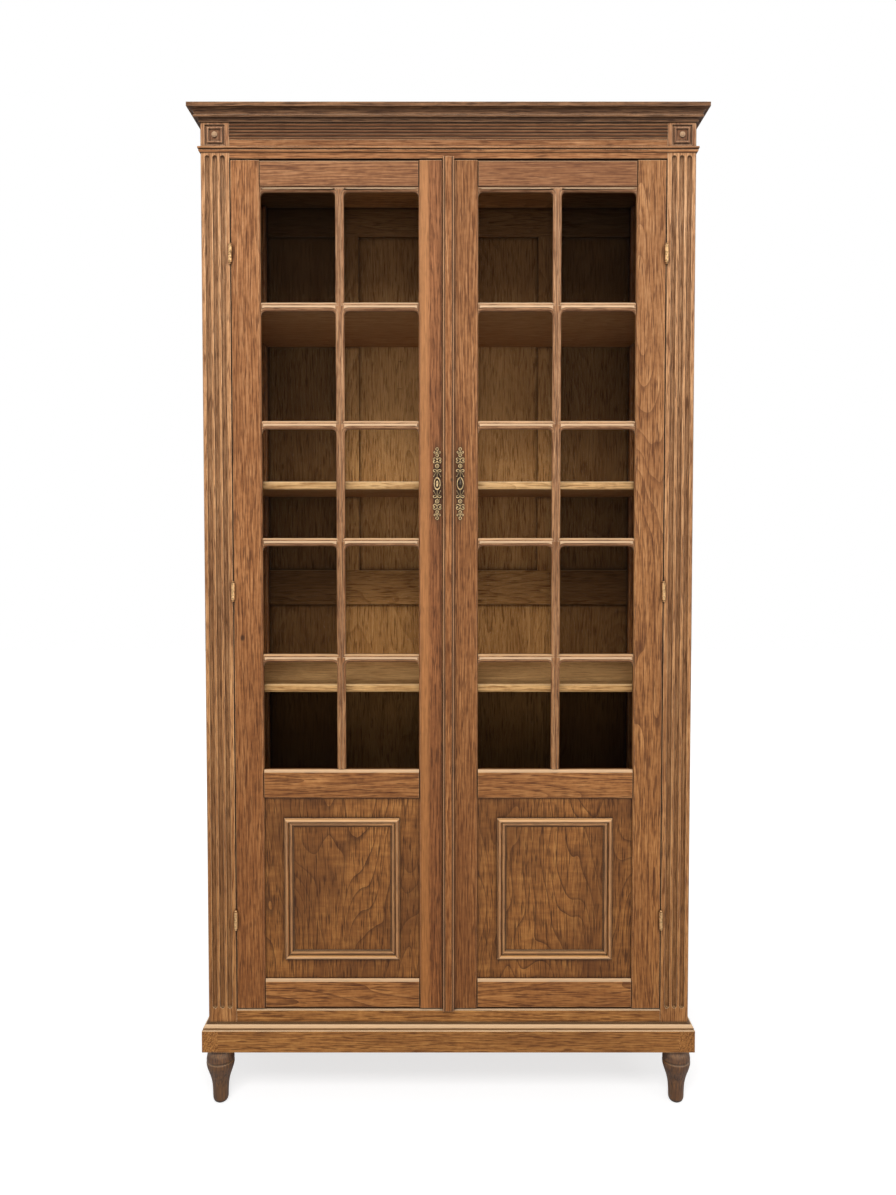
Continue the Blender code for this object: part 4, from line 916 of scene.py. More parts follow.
OAK = Oak()
RAIL_OAK = Oak(light=shade(206, 154, 106), middle=shade(166, 114, 70), figure=Figure.ARCHED, lines=0.65)
POST_OAK = Oak(
    light=shade(240, 192, 146),
    middle=shade(192, 140, 96),
    dark=shade(92, 52, 26),
    contrast=0.75,
    lines=0.3,
    wear=1.0,
    dirt_and_shade=1.0,
)
MEETING_OAK = Oak(light=shade(190, 138, 94), middle=shade(150, 100, 60), lines=0.65)
RED_OAK = Oak(
    light=shade(180, 122, 80), middle=shade(144, 92, 56), dark=shade(74, 40, 20), stain=shade(100, 58, 32)
)
CORNICE_OAK = Oak(
    light=shade(168, 124, 88),
    middle=shade(122, 84, 54),
    dark=shade(50, 28, 14),
    stain=shade(84, 56, 36),
    rubbed_and_lit=shade(214, 184, 156),
)
FOOT_OAK = Oak(
    light=shade(158, 116, 74),
    middle=shade(112, 78, 48),
    dark=shade(48, 28, 14),
    contrast=0.7,
    wear=0.3,
    gloss=0.9,
    roughness=0.34,
)
BAR_OAK = Oak(light=shade(222, 174, 132), middle=shade(182, 132, 93), dark=shade(92, 54, 30), wear=1.0)
MOULDING_OAK = Oak(
    light=shade(210, 158, 108),
    middle=shade(164, 112, 68),
    dark=shade(74, 40, 18),
    rubbed_and_lit=shade(248, 200, 150),
    wear=1.0,
    dirt_and_shade=0.7,
)
PALE_OAK = Oak(
    light=shade(222, 172, 116),
    middle=shade(180, 128, 78),
    dark=shade(96, 56, 26),
    stain=shade(124, 80, 42),
    wear=1.0,
)
CLOUDED_OAK = Oak(
    light=shade(206, 154, 98),
    middle=shade(152, 102, 58),
    dark=shade(62, 33, 13),
    stain=shade(96, 58, 28),
    figure=Figure.CLOUDED,
    contrast=0.55,
    lines=0.95,
    staining=0.8,
)
INNER_OAK = Oak(
    light=shade(220, 176, 124),
    middle=shade(186, 140, 92),
    dark=shade(104, 68, 36),
    stain=shade(132, 92, 54),
    rubbed_and_lit=shade(220, 180, 130),
    figure=Figure.ARCHED,
    contrast=0.5,
    wear=0.3,
    dirt_and_shade=0.8,
    # Painted shadow behind the hinge stiles
    side_shade=0.70,
    roughness=0.7,
    gloss=0.15,
)
SHELF_OAK = Oak(
    light=shade(248, 210, 162),
    middle=shade(222, 178, 130),
    dark=shade(140, 98, 58),
    stain=shade(168, 126, 82),
    rubbed_and_lit=shade(250, 220, 184),
    figure=Figure.ARCHED,
    contrast=0.9,
    dirt_and_shade=0.6,
    # Painted shade on the shelves' undersides
    underside_shade=0.62,
    roughness=0.62,
    gloss=0.25,
)


@dataclass(frozen=True)
class OldMetal:
    """Brass or iron with a dark skin in its hollows and bare metal on its ridges.

    Attributes:
        bare: The metal where it is worn bare.
        skin: The tarnish.
        tarnish: How much of the skin lies on it everywhere.
        roughness: How blurred it reflects.
        metallic: The share of it that acts as bare metal.
        clouds: How the skin spreads.
        pits: The fine pits in the casting.
        edge: The radius of its edges.
        hollow: How far the skin reaches from its hollows.
        relief: How deep the clouds and pits are.
        spread: In which part of the clouds the skin grows, and by how much.
        crowned: From which bareness of the crowns down the skin begins, where it is full, and
            how full.
        dulling: In which part of the clouds the metal is more matt, and by how much.
    """

    bare: Colour = shade(214, 176, 118)
    skin: Colour = shade(60, 40, 20)
    tarnish: float = 0.25
    roughness: float = 0.36
    metallic: float = 0.8
    clouds: Layer = Layer((260.0, 260.0, 260.0), 4.0)
    pits: Layer = Layer((1400.0, 1400.0, 1400.0), 2.0, 0.5, 0.4)
    edge: float = 0.0004
    hollow: float = 0.003
    relief: float = 0.0001
    spread: Point = (0.40, 0.62, 0.9)
    crowned: Point = (0.92, 0.62, 0.92)
    dulling: Point = (0.3, 0.7, 0.22)

    def dress(self, piece: Piece, slot: str) -> Piece:
        """Give a piece this metal.

        Args:
            piece: The piece.
            slot: The record's material slot of the metal; not used.

        Returns:
            The piece.
        """
        desk = Desk(f"metal_{piece.name}")
        place = desk.place()
        cloud = desk.cloud(place, self.clouds)
        pits = desk.product(desk.cloud(place, self.pits), self.pits.strength)
        first, full, growth = self.spread
        skin = desk.span(cloud, first, full, self.tarnish, self.tarnish + growth)
        skin = desk.sum("ADD", skin, desk.corners(self.hollow), clamp=True)
        if "crown" in piece.data.attributes:
            first, full, most = self.crowned
            skin = desk.sum("MAXIMUM", skin, desk.span(desk.marked("crown"), first, full, 0.0, most))
        first, full, growth = self.dulling
        dull = desk.span(cloud, first, full, self.roughness, self.roughness + growth)
        colour = desk.mix(skin, self.bare, self.skin)
        desk.give({"Base Color": colour, "Roughness": dull, "Metallic": self.metallic})
        desk.lay_bump(desk.sum("ADD", cloud, pits), self.relief, desk.rounded(self.edge))
        desk.cover(piece)
        return piece


BRASS = OldMetal(
    bare=shade(255, 218, 160), skin=shade(44, 28, 13), tarnish=-0.22, roughness=0.3, metallic=0.6
)
HINGE_BRASS = OldMetal(bare=shade(246, 200, 142), skin=shade(90, 54, 28), tarnish=-0.3, roughness=0.34)
IRON = OldMetal(bare=shade(120, 108, 92), skin=shade(44, 36, 30), tarnish=0.0, roughness=0.45)


@dataclass(frozen=True)
class WindowGlass:
    """Thin clear glass, faintly uneven, which lets all the light through but for its gloss.

    Attributes:
        tint: What it lets through.
        plain_gloss: The share that it reflects seen straight on.
        edge_gloss: How much more it reflects where it is seen from the side.
        waves: How uneven it is.
        swell: How high its waves are, and how strongly they bend the gloss.
        blur: How blurred it reflects.
        rise: How steeply the gloss rises towards the side.
    """

    tint: Colour = (0.985, 0.99, 0.98, 1.0)
    plain_gloss: float = 0.0012
    edge_gloss: float = 0.35
    waves: Layer = Layer((9.0, 9.0, 5.0), 1.0, 0.5)
    swell: Pair = (0.001, 0.4)
    blur: float = 0.03
    rise: float = 5.0

    def dress(self, piece: Piece) -> Piece:
        """Give a pane this glass.

        Args:
            piece: The pane.

        Returns:
            The pane.
        """
        desk = Desk(f"glass_{piece.name}")
        wave = desk.cloud(desk.place(), self.waves)
        swell = {"Height": wave, "Distance": self.swell[0], "Strength": self.swell[1]}
        bump = desk.node("Bump", swell).outputs[0]
        clear = desk.node("BsdfTransparent", {"Color": self.tint}).outputs[0]
        gloss = desk.node("BsdfGlossy", {"Roughness": self.blur, "Normal": bump}).outputs[0]
        slant = desk.node("LayerWeight", {"Blend": 0.5, "Normal": bump}).outputs["Facing"]
        slant = desk.sum("POWER", slant, self.rise)
        share = desk.sum("MULTIPLY_ADD", slant, self.edge_gloss, self.plain_gloss)
        mixed = desk.node("MixShader", {0: share, 1: clear, 2: gloss}).outputs[0]
        desk.tree.nodes.remove(desk.shader)
        desk.put(desk.output.inputs["Surface"], mixed)
        desk.cover(piece)
        return piece


GLASS = WindowGlass()


def hang(piece: Piece, body: str) -> Piece:
    """Let a piece move with a body, and report it.

    Args:
        piece: The finished piece.
        body: The body that carries it.

    Returns:
        The piece.
    """
    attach(piece, body)
    log.info("%s on %s: %d faces", piece.name, body, len(piece.data.polygons))
    return piece


def mark_faces(piece: Piece, name: str, how: Callable[[Vector], float]) -> None:
    """Give each face of a piece a number under a name.

    Args:
        piece: The piece.
        name: What the numbers are called.
        how: Gives the number for the place of a face's middle.
    """
    marks = piece.data.attributes.new(name, "FLOAT", "FACE")
    for face in piece.data.polygons:
        marks.data[face.index].value = how(face.center)


def mark_turned(piece: Piece, wanted: Callable[[Vector], bool]) -> None:
    """Mark the faces whose grain runs the other way, by the place of their middle."""
    mark_faces(piece, "turned", lambda place: float(wanted(place)))


def weather(piece: Piece, how: Callable[[Vector], float]) -> None:
    """Give faces a painted highlight with wear, up to 1, or painted shade, down to -1, by the place of their
    middle.
    """
    mark_faces(piece, "weather", how)


def mark_crowns(piece: Piece) -> None:
    """Mark how squarely each corner of a casting faces the front, where hands wear it bare.

    Args:
        piece: The casting.
    """
    marks = piece.data.attributes.new("crown", "FLOAT", "POINT")
    for corner in piece.data.vertices:
        marks.data[corner.index].value = -corner.normal.y


# The standing carcass


@dataclass
class Carcass:
    """Posts, sides, back, ceiling and floor.

    Attributes:
        stile: The width of a rear post, seen from the side.
        lap: How far the back's panels reach into its frame.
        boss_sink: How deep the carved block lies behind the post's foremost edge.
        boss_outline: Radius and height of the carved button's steps.
        button: The radius within which the button gets a painted highlight with wear.
        button_highlight: How strong that painted highlight is, and how far a face stands out to get it.
        carved: Half the width and height of the darker block round it.
        carved_depth: How strongly the block is darker.
        carved_tint: The block's colour.
        dents: Two short dents in the back.
        back_light_and_shade: Painted shade in the top and bottom compartments and along the back's middle
            rail, and a pool of painted light in the middle.
    """

    stile: float = 0.04005
    lap: float = 0.0077
    boss_sink: float = 0.0015
    boss_outline: tuple[Pair, ...] = (
        (0.0062, 0.0), (0.0062, 0.0016), (0.0054, 0.0022),
        (0.0046, 0.0020), (0.0040, 0.0030), (0.0022, 0.0040),
    )
    button: float = 0.0068
    button_highlight: Pair = (0.45, 0.001)
    carved: Pair = (0.045, 0.040)
    carved_depth: float = 0.62
    carved_tint: Colour = shade(104, 62, 44)
    dents: tuple[Mark, ...] = (
        Mark((-0.132, 1.789), (0.008, 0.0016)),
        Mark((-0.1345, 1.715), (0.009, 0.0016)),
    )
    # Painted shade in the top and bottom compartments and along the middle rail, and painted light in the
    # middle
    back_light_and_shade: tuple[Mark, ...] = (
        Mark((0.0, 2.12), (ENDLESS, 0.25), 0.6, shade(70, 40, 18)),
        Mark((0.0, 1.70), (0.32, 0.17), 0.22, shade(222, 174, 118)),
        Mark((0.0, 0.60), (ENDLESS, 0.36), 0.72, shade(46, 24, 8)),
        Mark((0.0, 1.174), (ENDLESS, 0.075), 0.35, shade(70, 40, 18)),
    )

    def build(self) -> None:
        """Make and dress every piece."""
        nodes = frame["nodes"]
        for number, side in enumerate(SIDES):
            self.front_post(side, 11 + number)
            self.side_frame(side, 21 + number)
            OAK.dress(nodes[f"{side}_side_panel"], Run.UPRIGHT, 31 + number)
        self.back_frame()
        INNER_OAK.dress(nodes["back_upper_panel"], Run.UPRIGHT, 41, marks=[*self.dents, *self.back_light_and_shade])
        INNER_OAK.dress(nodes["back_lower_panel"], Run.UPRIGHT, 44, marks=self.back_light_and_shade)
        INNER_OAK.dress(nodes["top_board"], Run.ACROSS, 46)

    def front_post(self, side: str, seed: int) -> None:
        """Make one fluted post, with a button carved on its block.

        Args:
            side: Which post it is.
            seed: Which board it was cut from.
        """
        post = take_up(f"{side}_front_post", f"{side}_fluted_post")
        low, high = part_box(f"{side}_front_post")
        necking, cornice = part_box("necking_moulding")[1].z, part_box("cornice")[0].z
        middle = Vector(((low.x + high.x) / 2, low.y + self.boss_sink, (necking + cornice) / 2))
        piece = unite([post, self.boss(middle)], f"{side}_fluted_post")
        rubbed_and_lit, proud = self.button_highlight

        def painted_light(place: Vector) -> float:
            """The painted highlight, with wear, on the button where it stands out."""
            on_button = (place - middle).length < self.button and place.y < middle.y - proud
            return rubbed_and_lit if on_button else 0.0

        # A painted highlight, with wear, on the carved button
        weather(piece, painted_light)
        block = Mark((middle.x, middle.z), self.carved, self.carved_depth, self.carved_tint)
        hang(POST_OAK.dress(smooth(piece), Run.UPRIGHT, seed, marks=[block]), "carcass")

    def boss(self, middle: Vector) -> Piece:
        """Make the round button on a carved block, with a ring struck round it.

        Args:
            middle: Where it stands on the block.

        Returns:
            The button.
        """
        piece = turn_on_lathe(self.boss_outline, (0.0, 0.0, 0.0), 24)
        piece.rotation_euler = (QUARTER_TURN, 0, 0)
        piece.location = middle
        return piece

    def side_frame(self, side: str, seed: int) -> None:
        """Make a rear post with its three rails, whose grain runs from front to back.

        Args:
            side: Which side it is.
            seed: Which board it was cut from.
        """
        piece = take_up(f"{side}_side_frame", f"{side}_framed_side")
        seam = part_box(f"{side}_side_frame")[1].y - self.stile
        saw(piece, (0, seam, 0), (0, 1, 0))
        mark_turned(piece, lambda middle: middle.y < seam)
        hang(OAK.dress(smooth(piece), Run.UPRIGHT, seed, turned=Run.DEEP), "carcass")

    def back_frame(self) -> None:
        """Make the framed back, whose rails run across between upright stiles and muntins."""
        piece = take_up("back_frame", "framed_back")
        lower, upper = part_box("back_lower_panel"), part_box("back_upper_panel")
        foot, sill = lower[0].z + self.lap, lower[1].z - self.lap
        ledge, head = upper[0].z + self.lap, upper[1].z - self.lap
        for level in (sill, ledge, head, foot):
            saw(piece, (0, 0, level), (0, 0, 1))
        mark_turned(piece, lambda place: place.z < foot or sill < place.z < ledge or place.z > head)
        INNER_OAK.dress(piece, Run.UPRIGHT, 47, turned=Run.ACROSS, slot="interior_oak", marks=self.back_light_and_shade)
        hang(piece, "carcass")


@dataclass
class Mouldings:
    """Frieze, cornice, necking, sill and plinth.

    Attributes:
        reeds: The heights between which the solid's frieze is reeded.
        reed_back: The plane that lies behind the reeds.
        reed_growth: How much taller the reeded band is than in the solid.
        reed_band: How far behind the doors' face the reeded surface lies, at least and at most.
        reed_crown: How far behind it the reeds' crowns end.
        reed_shade: How strong the painted shade is on the reeds' crowns and in the hollows between them.
        cornice_shade: The painted shade that lies on the reeds under the cornice.
        sill_highlight: The sill's edge with a painted highlight: what lies before this y and above this z.
        plinth_steps: The heights up to which the plinth's moulded edge gets painted highlight or
        painted shade, and how much, from its face upwards.
        plinth_top: The painted highlight on the moulded edge above the last of them.
        end_grain: How much of the plinth's front shows the ends of its side boards.
    """

    reeds: Pair = (2.189, 2.2175)
    reed_back: float = -0.2150
    reed_growth: float = 1.34
    reed_band: Pair = (0.00005, 0.0028)
    reed_crown: float = 0.0011
    reed_shade: Pair = (-0.1, -1.0)
    cornice_shade: Mark = Mark((0.0, 2.206), (ENDLESS, 0.027), 0.60, shade(60, 34, 18))
    sill_highlight: Pair = (-0.2155, 0.2235)
    plinth_steps: tuple[Pair, ...] = (
        (0.1812, 0.0), (0.1824, 0.9), (0.1860, -0.7),
        (0.1905, 0.7), (0.1930, 1.0), (0.1956, -0.9),
    )
    plinth_top: float = 0.15
    end_grain: float = 0.036

    def build(self) -> None:
        """Make and dress every piece."""
        self.frieze()
        for node, name, finish, seed, slot in (
            ("cornice", "moulded_cornice", CORNICE_OAK, 53, "dark_oak"),
            ("necking_moulding", "moulded_necking", OAK, 55, "oak"),
        ):
            piece = take_up(node, name)
            self.mitre(piece)
            hang(finish.dress(smooth(piece), Run.ACROSS, seed, turned=Run.DEEP, slot=slot), "carcass")
        self.plinth()
        sill = take_up("floor_board", "floor_and_sill")
        # A painted highlight on the sill's front top edge
        weather(sill, lambda place: float(place.y < self.sill_highlight[0] and place.z > self.sill_highlight[1]))
        hang(PALE_OAK.dress(smooth(sill), Run.ACROSS, 59, slot="interior_oak"), "carcass")

    def frieze(self) -> None:
        """Make the frieze, whose reeded band is drawn out in height."""
        foot, head = self.reeds
        piece = take_up("frieze_rail", "reeded_frieze")
        with on_bench(piece, "VERT"):
            pick(
                piece,
                "verts",
                lambda corner: corner.co.y < self.reed_back and foot - NEAR < corner.co.z < head,
            )
            bpy.ops.transform.resize(value=(1, 1, self.reed_growth), center_override=(0, FACE, foot))
        # Painted shade between the reeds, and under the cornice
        weather(piece, self.reed_shade_at)
        smooth(piece, math.radians(50))
        hang(OAK.dress(piece, Run.ACROSS, 51, marks=[self.cornice_shade]), "carcass")

    def reed_shade_at(self, place: Vector) -> float:
        """The painted shade on the frieze's reeds, a little on their crowns and fully between them.

        Args:
            place: The middle of a face.

        Returns:
            How strong its painted shade is, down to -1.
        """
        sunk = place.y - FACE
        if sunk < self.reed_band[0] or sunk > self.reed_band[1]:
            return 0.0
        return self.reed_shade[1] if sunk > self.reed_crown else self.reed_shade[0]

    def plinth_light_and_shade(self, place: Vector) -> float:
        """The painted highlights and painted shade on the plinth's moulded edge."""
        amounts = (amount for level, amount in self.plinth_steps if place.z < level)
        return next(amounts, self.plinth_top)

    def mitre(self, piece: Piece) -> None:
        """Part a moulding at its two front corners, and mark its side runs.

        Args:
            piece: The moulding.
        """
        half = abs(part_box("left_front_post")[0].x)
        for side in (-1, 1):
            saw(piece, (side * half, FACE, 0), (1, side, 0))
        mark_turned(piece, lambda middle: abs(middle.x) - half > FACE - middle.y)

    def plinth(self) -> None:
        """Make the plinth, whose side boards run through to the front."""
        piece = take_up("plinth", "moulded_plinth")
        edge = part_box("plinth")[1].x - self.end_grain
        for side in (-1, 1):
            saw(piece, (side * edge, 0, 0), (1, 0, 0))
        mark_turned(piece, lambda middle: abs(middle.x) > edge)
        # Bands of painted highlight and painted shade along the moulded edge
        weather(piece, self.plinth_light_and_shade)
        hang(PALE_OAK.dress(smooth(piece), Run.ACROSS, 57, turned=Run.DEEP), "carcass")


@dataclass
class TurnedFoot:
    """One foot, turned on a lathe with a peg on its upper end.

    Attributes:
        name: The solid that it stands for.
        seed: Which block it was turned from.
        outline: Share of the largest radius and of the height, from the floor up.
        neck: The same share where it meets the plinth.
        peg: The radius of its peg.
        play: How far its shoulder stays below the plinth.
        steps: How many faces go round.
    """

    name: str
    seed: int
    outline: tuple[Pair, ...] = (
        (0.30, 0.0), (0.44, 0.018), (0.53, 0.06), (0.555, 0.12), (0.565, 0.21), (0.59, 0.31),
        (0.645, 0.395), (0.74, 0.485), (0.885, 0.585), (0.97, 0.655), (1.0, 0.705), (0.99, 0.734),
        (0.925, 0.748), (0.925, 0.758), (0.99, 0.770), (0.98, 0.80), (0.935, 0.86), (0.865, 0.91),
        (0.83, 0.938), (0.85, 0.962), (0.89, 0.98),
    )
    neck: float = 0.89
    peg: float = 0.0098
    play: float = 0.0003
    steps: int = 40

    def build(self) -> None:
        """Make and dress the foot."""
        low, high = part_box(self.name)
        centre = ((low.x + high.x) / 2, (low.y + high.y) / 2, 0.0)
        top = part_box("plinth")[0].z - self.play
        radius = (high.x - low.x) / 2
        profile = [(share * radius, level * top) for share, level in flow(self.outline, 3)]
        profile += [(self.neck * radius, top), (self.peg, top), (self.peg, high.z)]
        foot = turn_on_lathe(profile, centre, self.steps)
        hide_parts(self.name)
        settle(foot, f"turned_{self.name}")
        hang(FOOT_OAK.dress(smooth(foot), Run.UPRIGHT, self.seed, slot="dark_oak"), "carcass")


@dataclass
class Inside:
    """Toothed racks and the shelves that lie on their cleats.

    Attributes:
        rack_width: The width of a rack's upright, which stands at both ends of its cleats.
        round_off: How far a shelf's front edge is rounded.
    """

    rack_width: float = 0.026
    round_off: float = 0.004

    def build(self) -> None:
        """Make and dress every piece."""
        for number, side in enumerate(SIDES):
            self.rack(side, 61 + number)
        for number, level in enumerate(("lower", "middle", "upper")):
            self.shelf(f"{level}_shelf", 65 + 2 * number)

    def rack(self, side: str, seed: int) -> None:
        """Make two toothed uprights with their cleats.

        Args:
            side: Which side of the cabinet they stand on.
            seed: Which board they were cut from.
        """
        piece = take_up(f"{side}_shelf_rack", f"{side}_toothed_rack")
        low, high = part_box(f"{side}_shelf_rack")
        front, back = low.y + self.rack_width, high.y - self.rack_width
        for seam in (front, back):
            saw(piece, (0, seam, 0), (0, 1, 0))
        mark_turned(piece, lambda middle: front < middle.y < back)
        hang(INNER_OAK.dress(piece, Run.UPRIGHT, seed, turned=Run.DEEP, slot="interior_oak"), "carcass")

    def shelf(self, node: str, seed: int) -> None:
        """Make one shelf with a rounded front edge.

        Args:
            node: The solid that it stands for.
            seed: Which board it was cut from.
        """
        piece = take_up(node, f"rounded_{node}")
        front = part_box(node)[0].y
        with on_bench(piece, "EDGE"):
            pick(piece, "edges", lambda edge: runs_level(edge, front))
            bpy.ops.mesh.bevel(offset=self.round_off, segments=3, profile=0.5)
        hang(SHELF_OAK.dress(smooth(piece), Run.ACROSS, seed, slot="interior_oak"), "carcass")


# The doors


@dataclass
class PanelMoulding:
    """The four mitred lengths planted on a door's lower panel.

    Attributes:
        side: The door.
        seed: Which board they were cut from.
        margin: How far they lie inside the panel's edge.
        width: Their width.
        proud: How far they stand out from the panel.
        lift: How far their flat back stays off the panel.
        crown_from: The share of the height above which it is a crown with a painted highlight.
        ledge: Between which shares of the height its ledge lies.
        hollow_to: The share of the height below which it has painted shade.
        painted_light: How strong the painted highlight is on the crowns of the level lengths, those of
        the upright ones and the ledges.
        hollow_shade: How strong the painted shade in its hollows is.
        section: Share of the width and of the height, from the outer edge inwards.
    """

    side: str
    seed: int
    margin: float = 0.0527
    width: float = 0.021
    proud: float = 0.0095
    lift: float = 0.00002
    crown_from: float = 0.88
    ledge: Pair = (0.44, 0.56)
    hollow_to: float = 0.36
    painted_light: Point = (0.7, 0.25, 0.2)
    hollow_shade: float = -0.75
    section: tuple[Pair, ...] = (
        (0.0, 0.0), (0.0, 0.46), (0.04, 0.48), (0.07, 0.74), (0.13, 0.90), (0.21, 0.98), (0.30, 1.0),
        (0.38, 0.94), (0.44, 0.80), (0.47, 0.60), (0.475, 0.34), (0.53, 0.30), (0.545, 0.46),
        (0.62, 0.52), (0.72, 0.50), (0.82, 0.40), (0.88, 0.26), (0.885, 0.14), (1.0, 0.10), (1.0, 0.0),
    )

    def build(self, front: float) -> None:
        """Make the four lengths.

        Args:
            front: The plane of the panel's face.
        """
        low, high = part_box(f"{self.side}_door_panel")
        x0, x1 = low.x + self.margin, high.x - self.margin
        z0, z1 = low.z + self.margin, high.z - self.margin
        self.length("foot", front, (x0, z0), (x1, z0), (0, 1))
        self.length("head", front, (x0, z1), (x1, z1), (0, -1))
        self.length("left", front, (x0, z0), (x0, z1), (1, 0))
        self.length("right", front, (x1, z0), (x1, z1), (-1, 0))

    def length(self, name: str, front: float, start: Pair, stop: Pair, inwards: tuple[int, int]) -> None:
        """Make one length and cut its two mitres.

        Args:
            name: Which of the four it is.
            front: The plane of the panel's face.
            start: Its outer corner at one end, as x and z.
            stop: Its outer corner at the other end.
            inwards: The way to the middle of the panel.
        """
        points = []
        for across, height in self.section:
            x = start[0] + inwards[0] * across * self.width
            z = start[1] + inwards[1] * across * self.width
            points.append((x, front - self.lift - height * self.proud, z))
        piece = draw(points, True)
        reach = (stop[0] - start[0], 0.0, stop[1] - start[1])
        with on_bench(piece):
            bpy.ops.mesh.select_all(action="SELECT")
            bpy.ops.mesh.extrude_region_move(TRANSFORM_OT_translate={"value": reach})
            bpy.ops.mesh.select_all(action="SELECT")
            bpy.ops.mesh.normals_make_consistent(inside=False)
        along = Vector(reach).normalized()
        across = Vector((inwards[0], 0.0, inwards[1]))
        saw(piece, (start[0], 0, start[1]), tuple(across - along), True)
        saw(piece, (stop[0], 0, stop[1]), tuple(across + along), True)
        settle(piece, f"{self.side}_panel_moulding_{name}")
        lies = inwards[0] == 0
        crown = self.painted_light[0] if lies else self.painted_light[1]
        # Painted highlights on its crown and ledge, painted shade in its hollows
        weather(piece, lambda place: self.light_and_shade_at((front - place.y) / self.proud, crown))
        run = Run.ACROSS if lies else Run.UPRIGHT
        MOULDING_OAK.dress(smooth(piece, math.radians(32)), run, self.seed + (name == "right"))
        hang(piece, f"{self.side}_door")

    def light_and_shade_at(self, height: float, crown: float) -> float:
        """The painted highlight or painted shade on a length.

        Args:
            height: The share of its height.
            crown: How strong the painted highlight on its crown is.

        Returns:
            Its painted highlight, to 1, or its painted shade, to -1.
        """
        if height > self.crown_from:
            return crown
        if self.ledge[0] < height < self.ledge[1]:
            return self.painted_light[2]
        return self.hollow_shade if height < self.hollow_to else 0.0


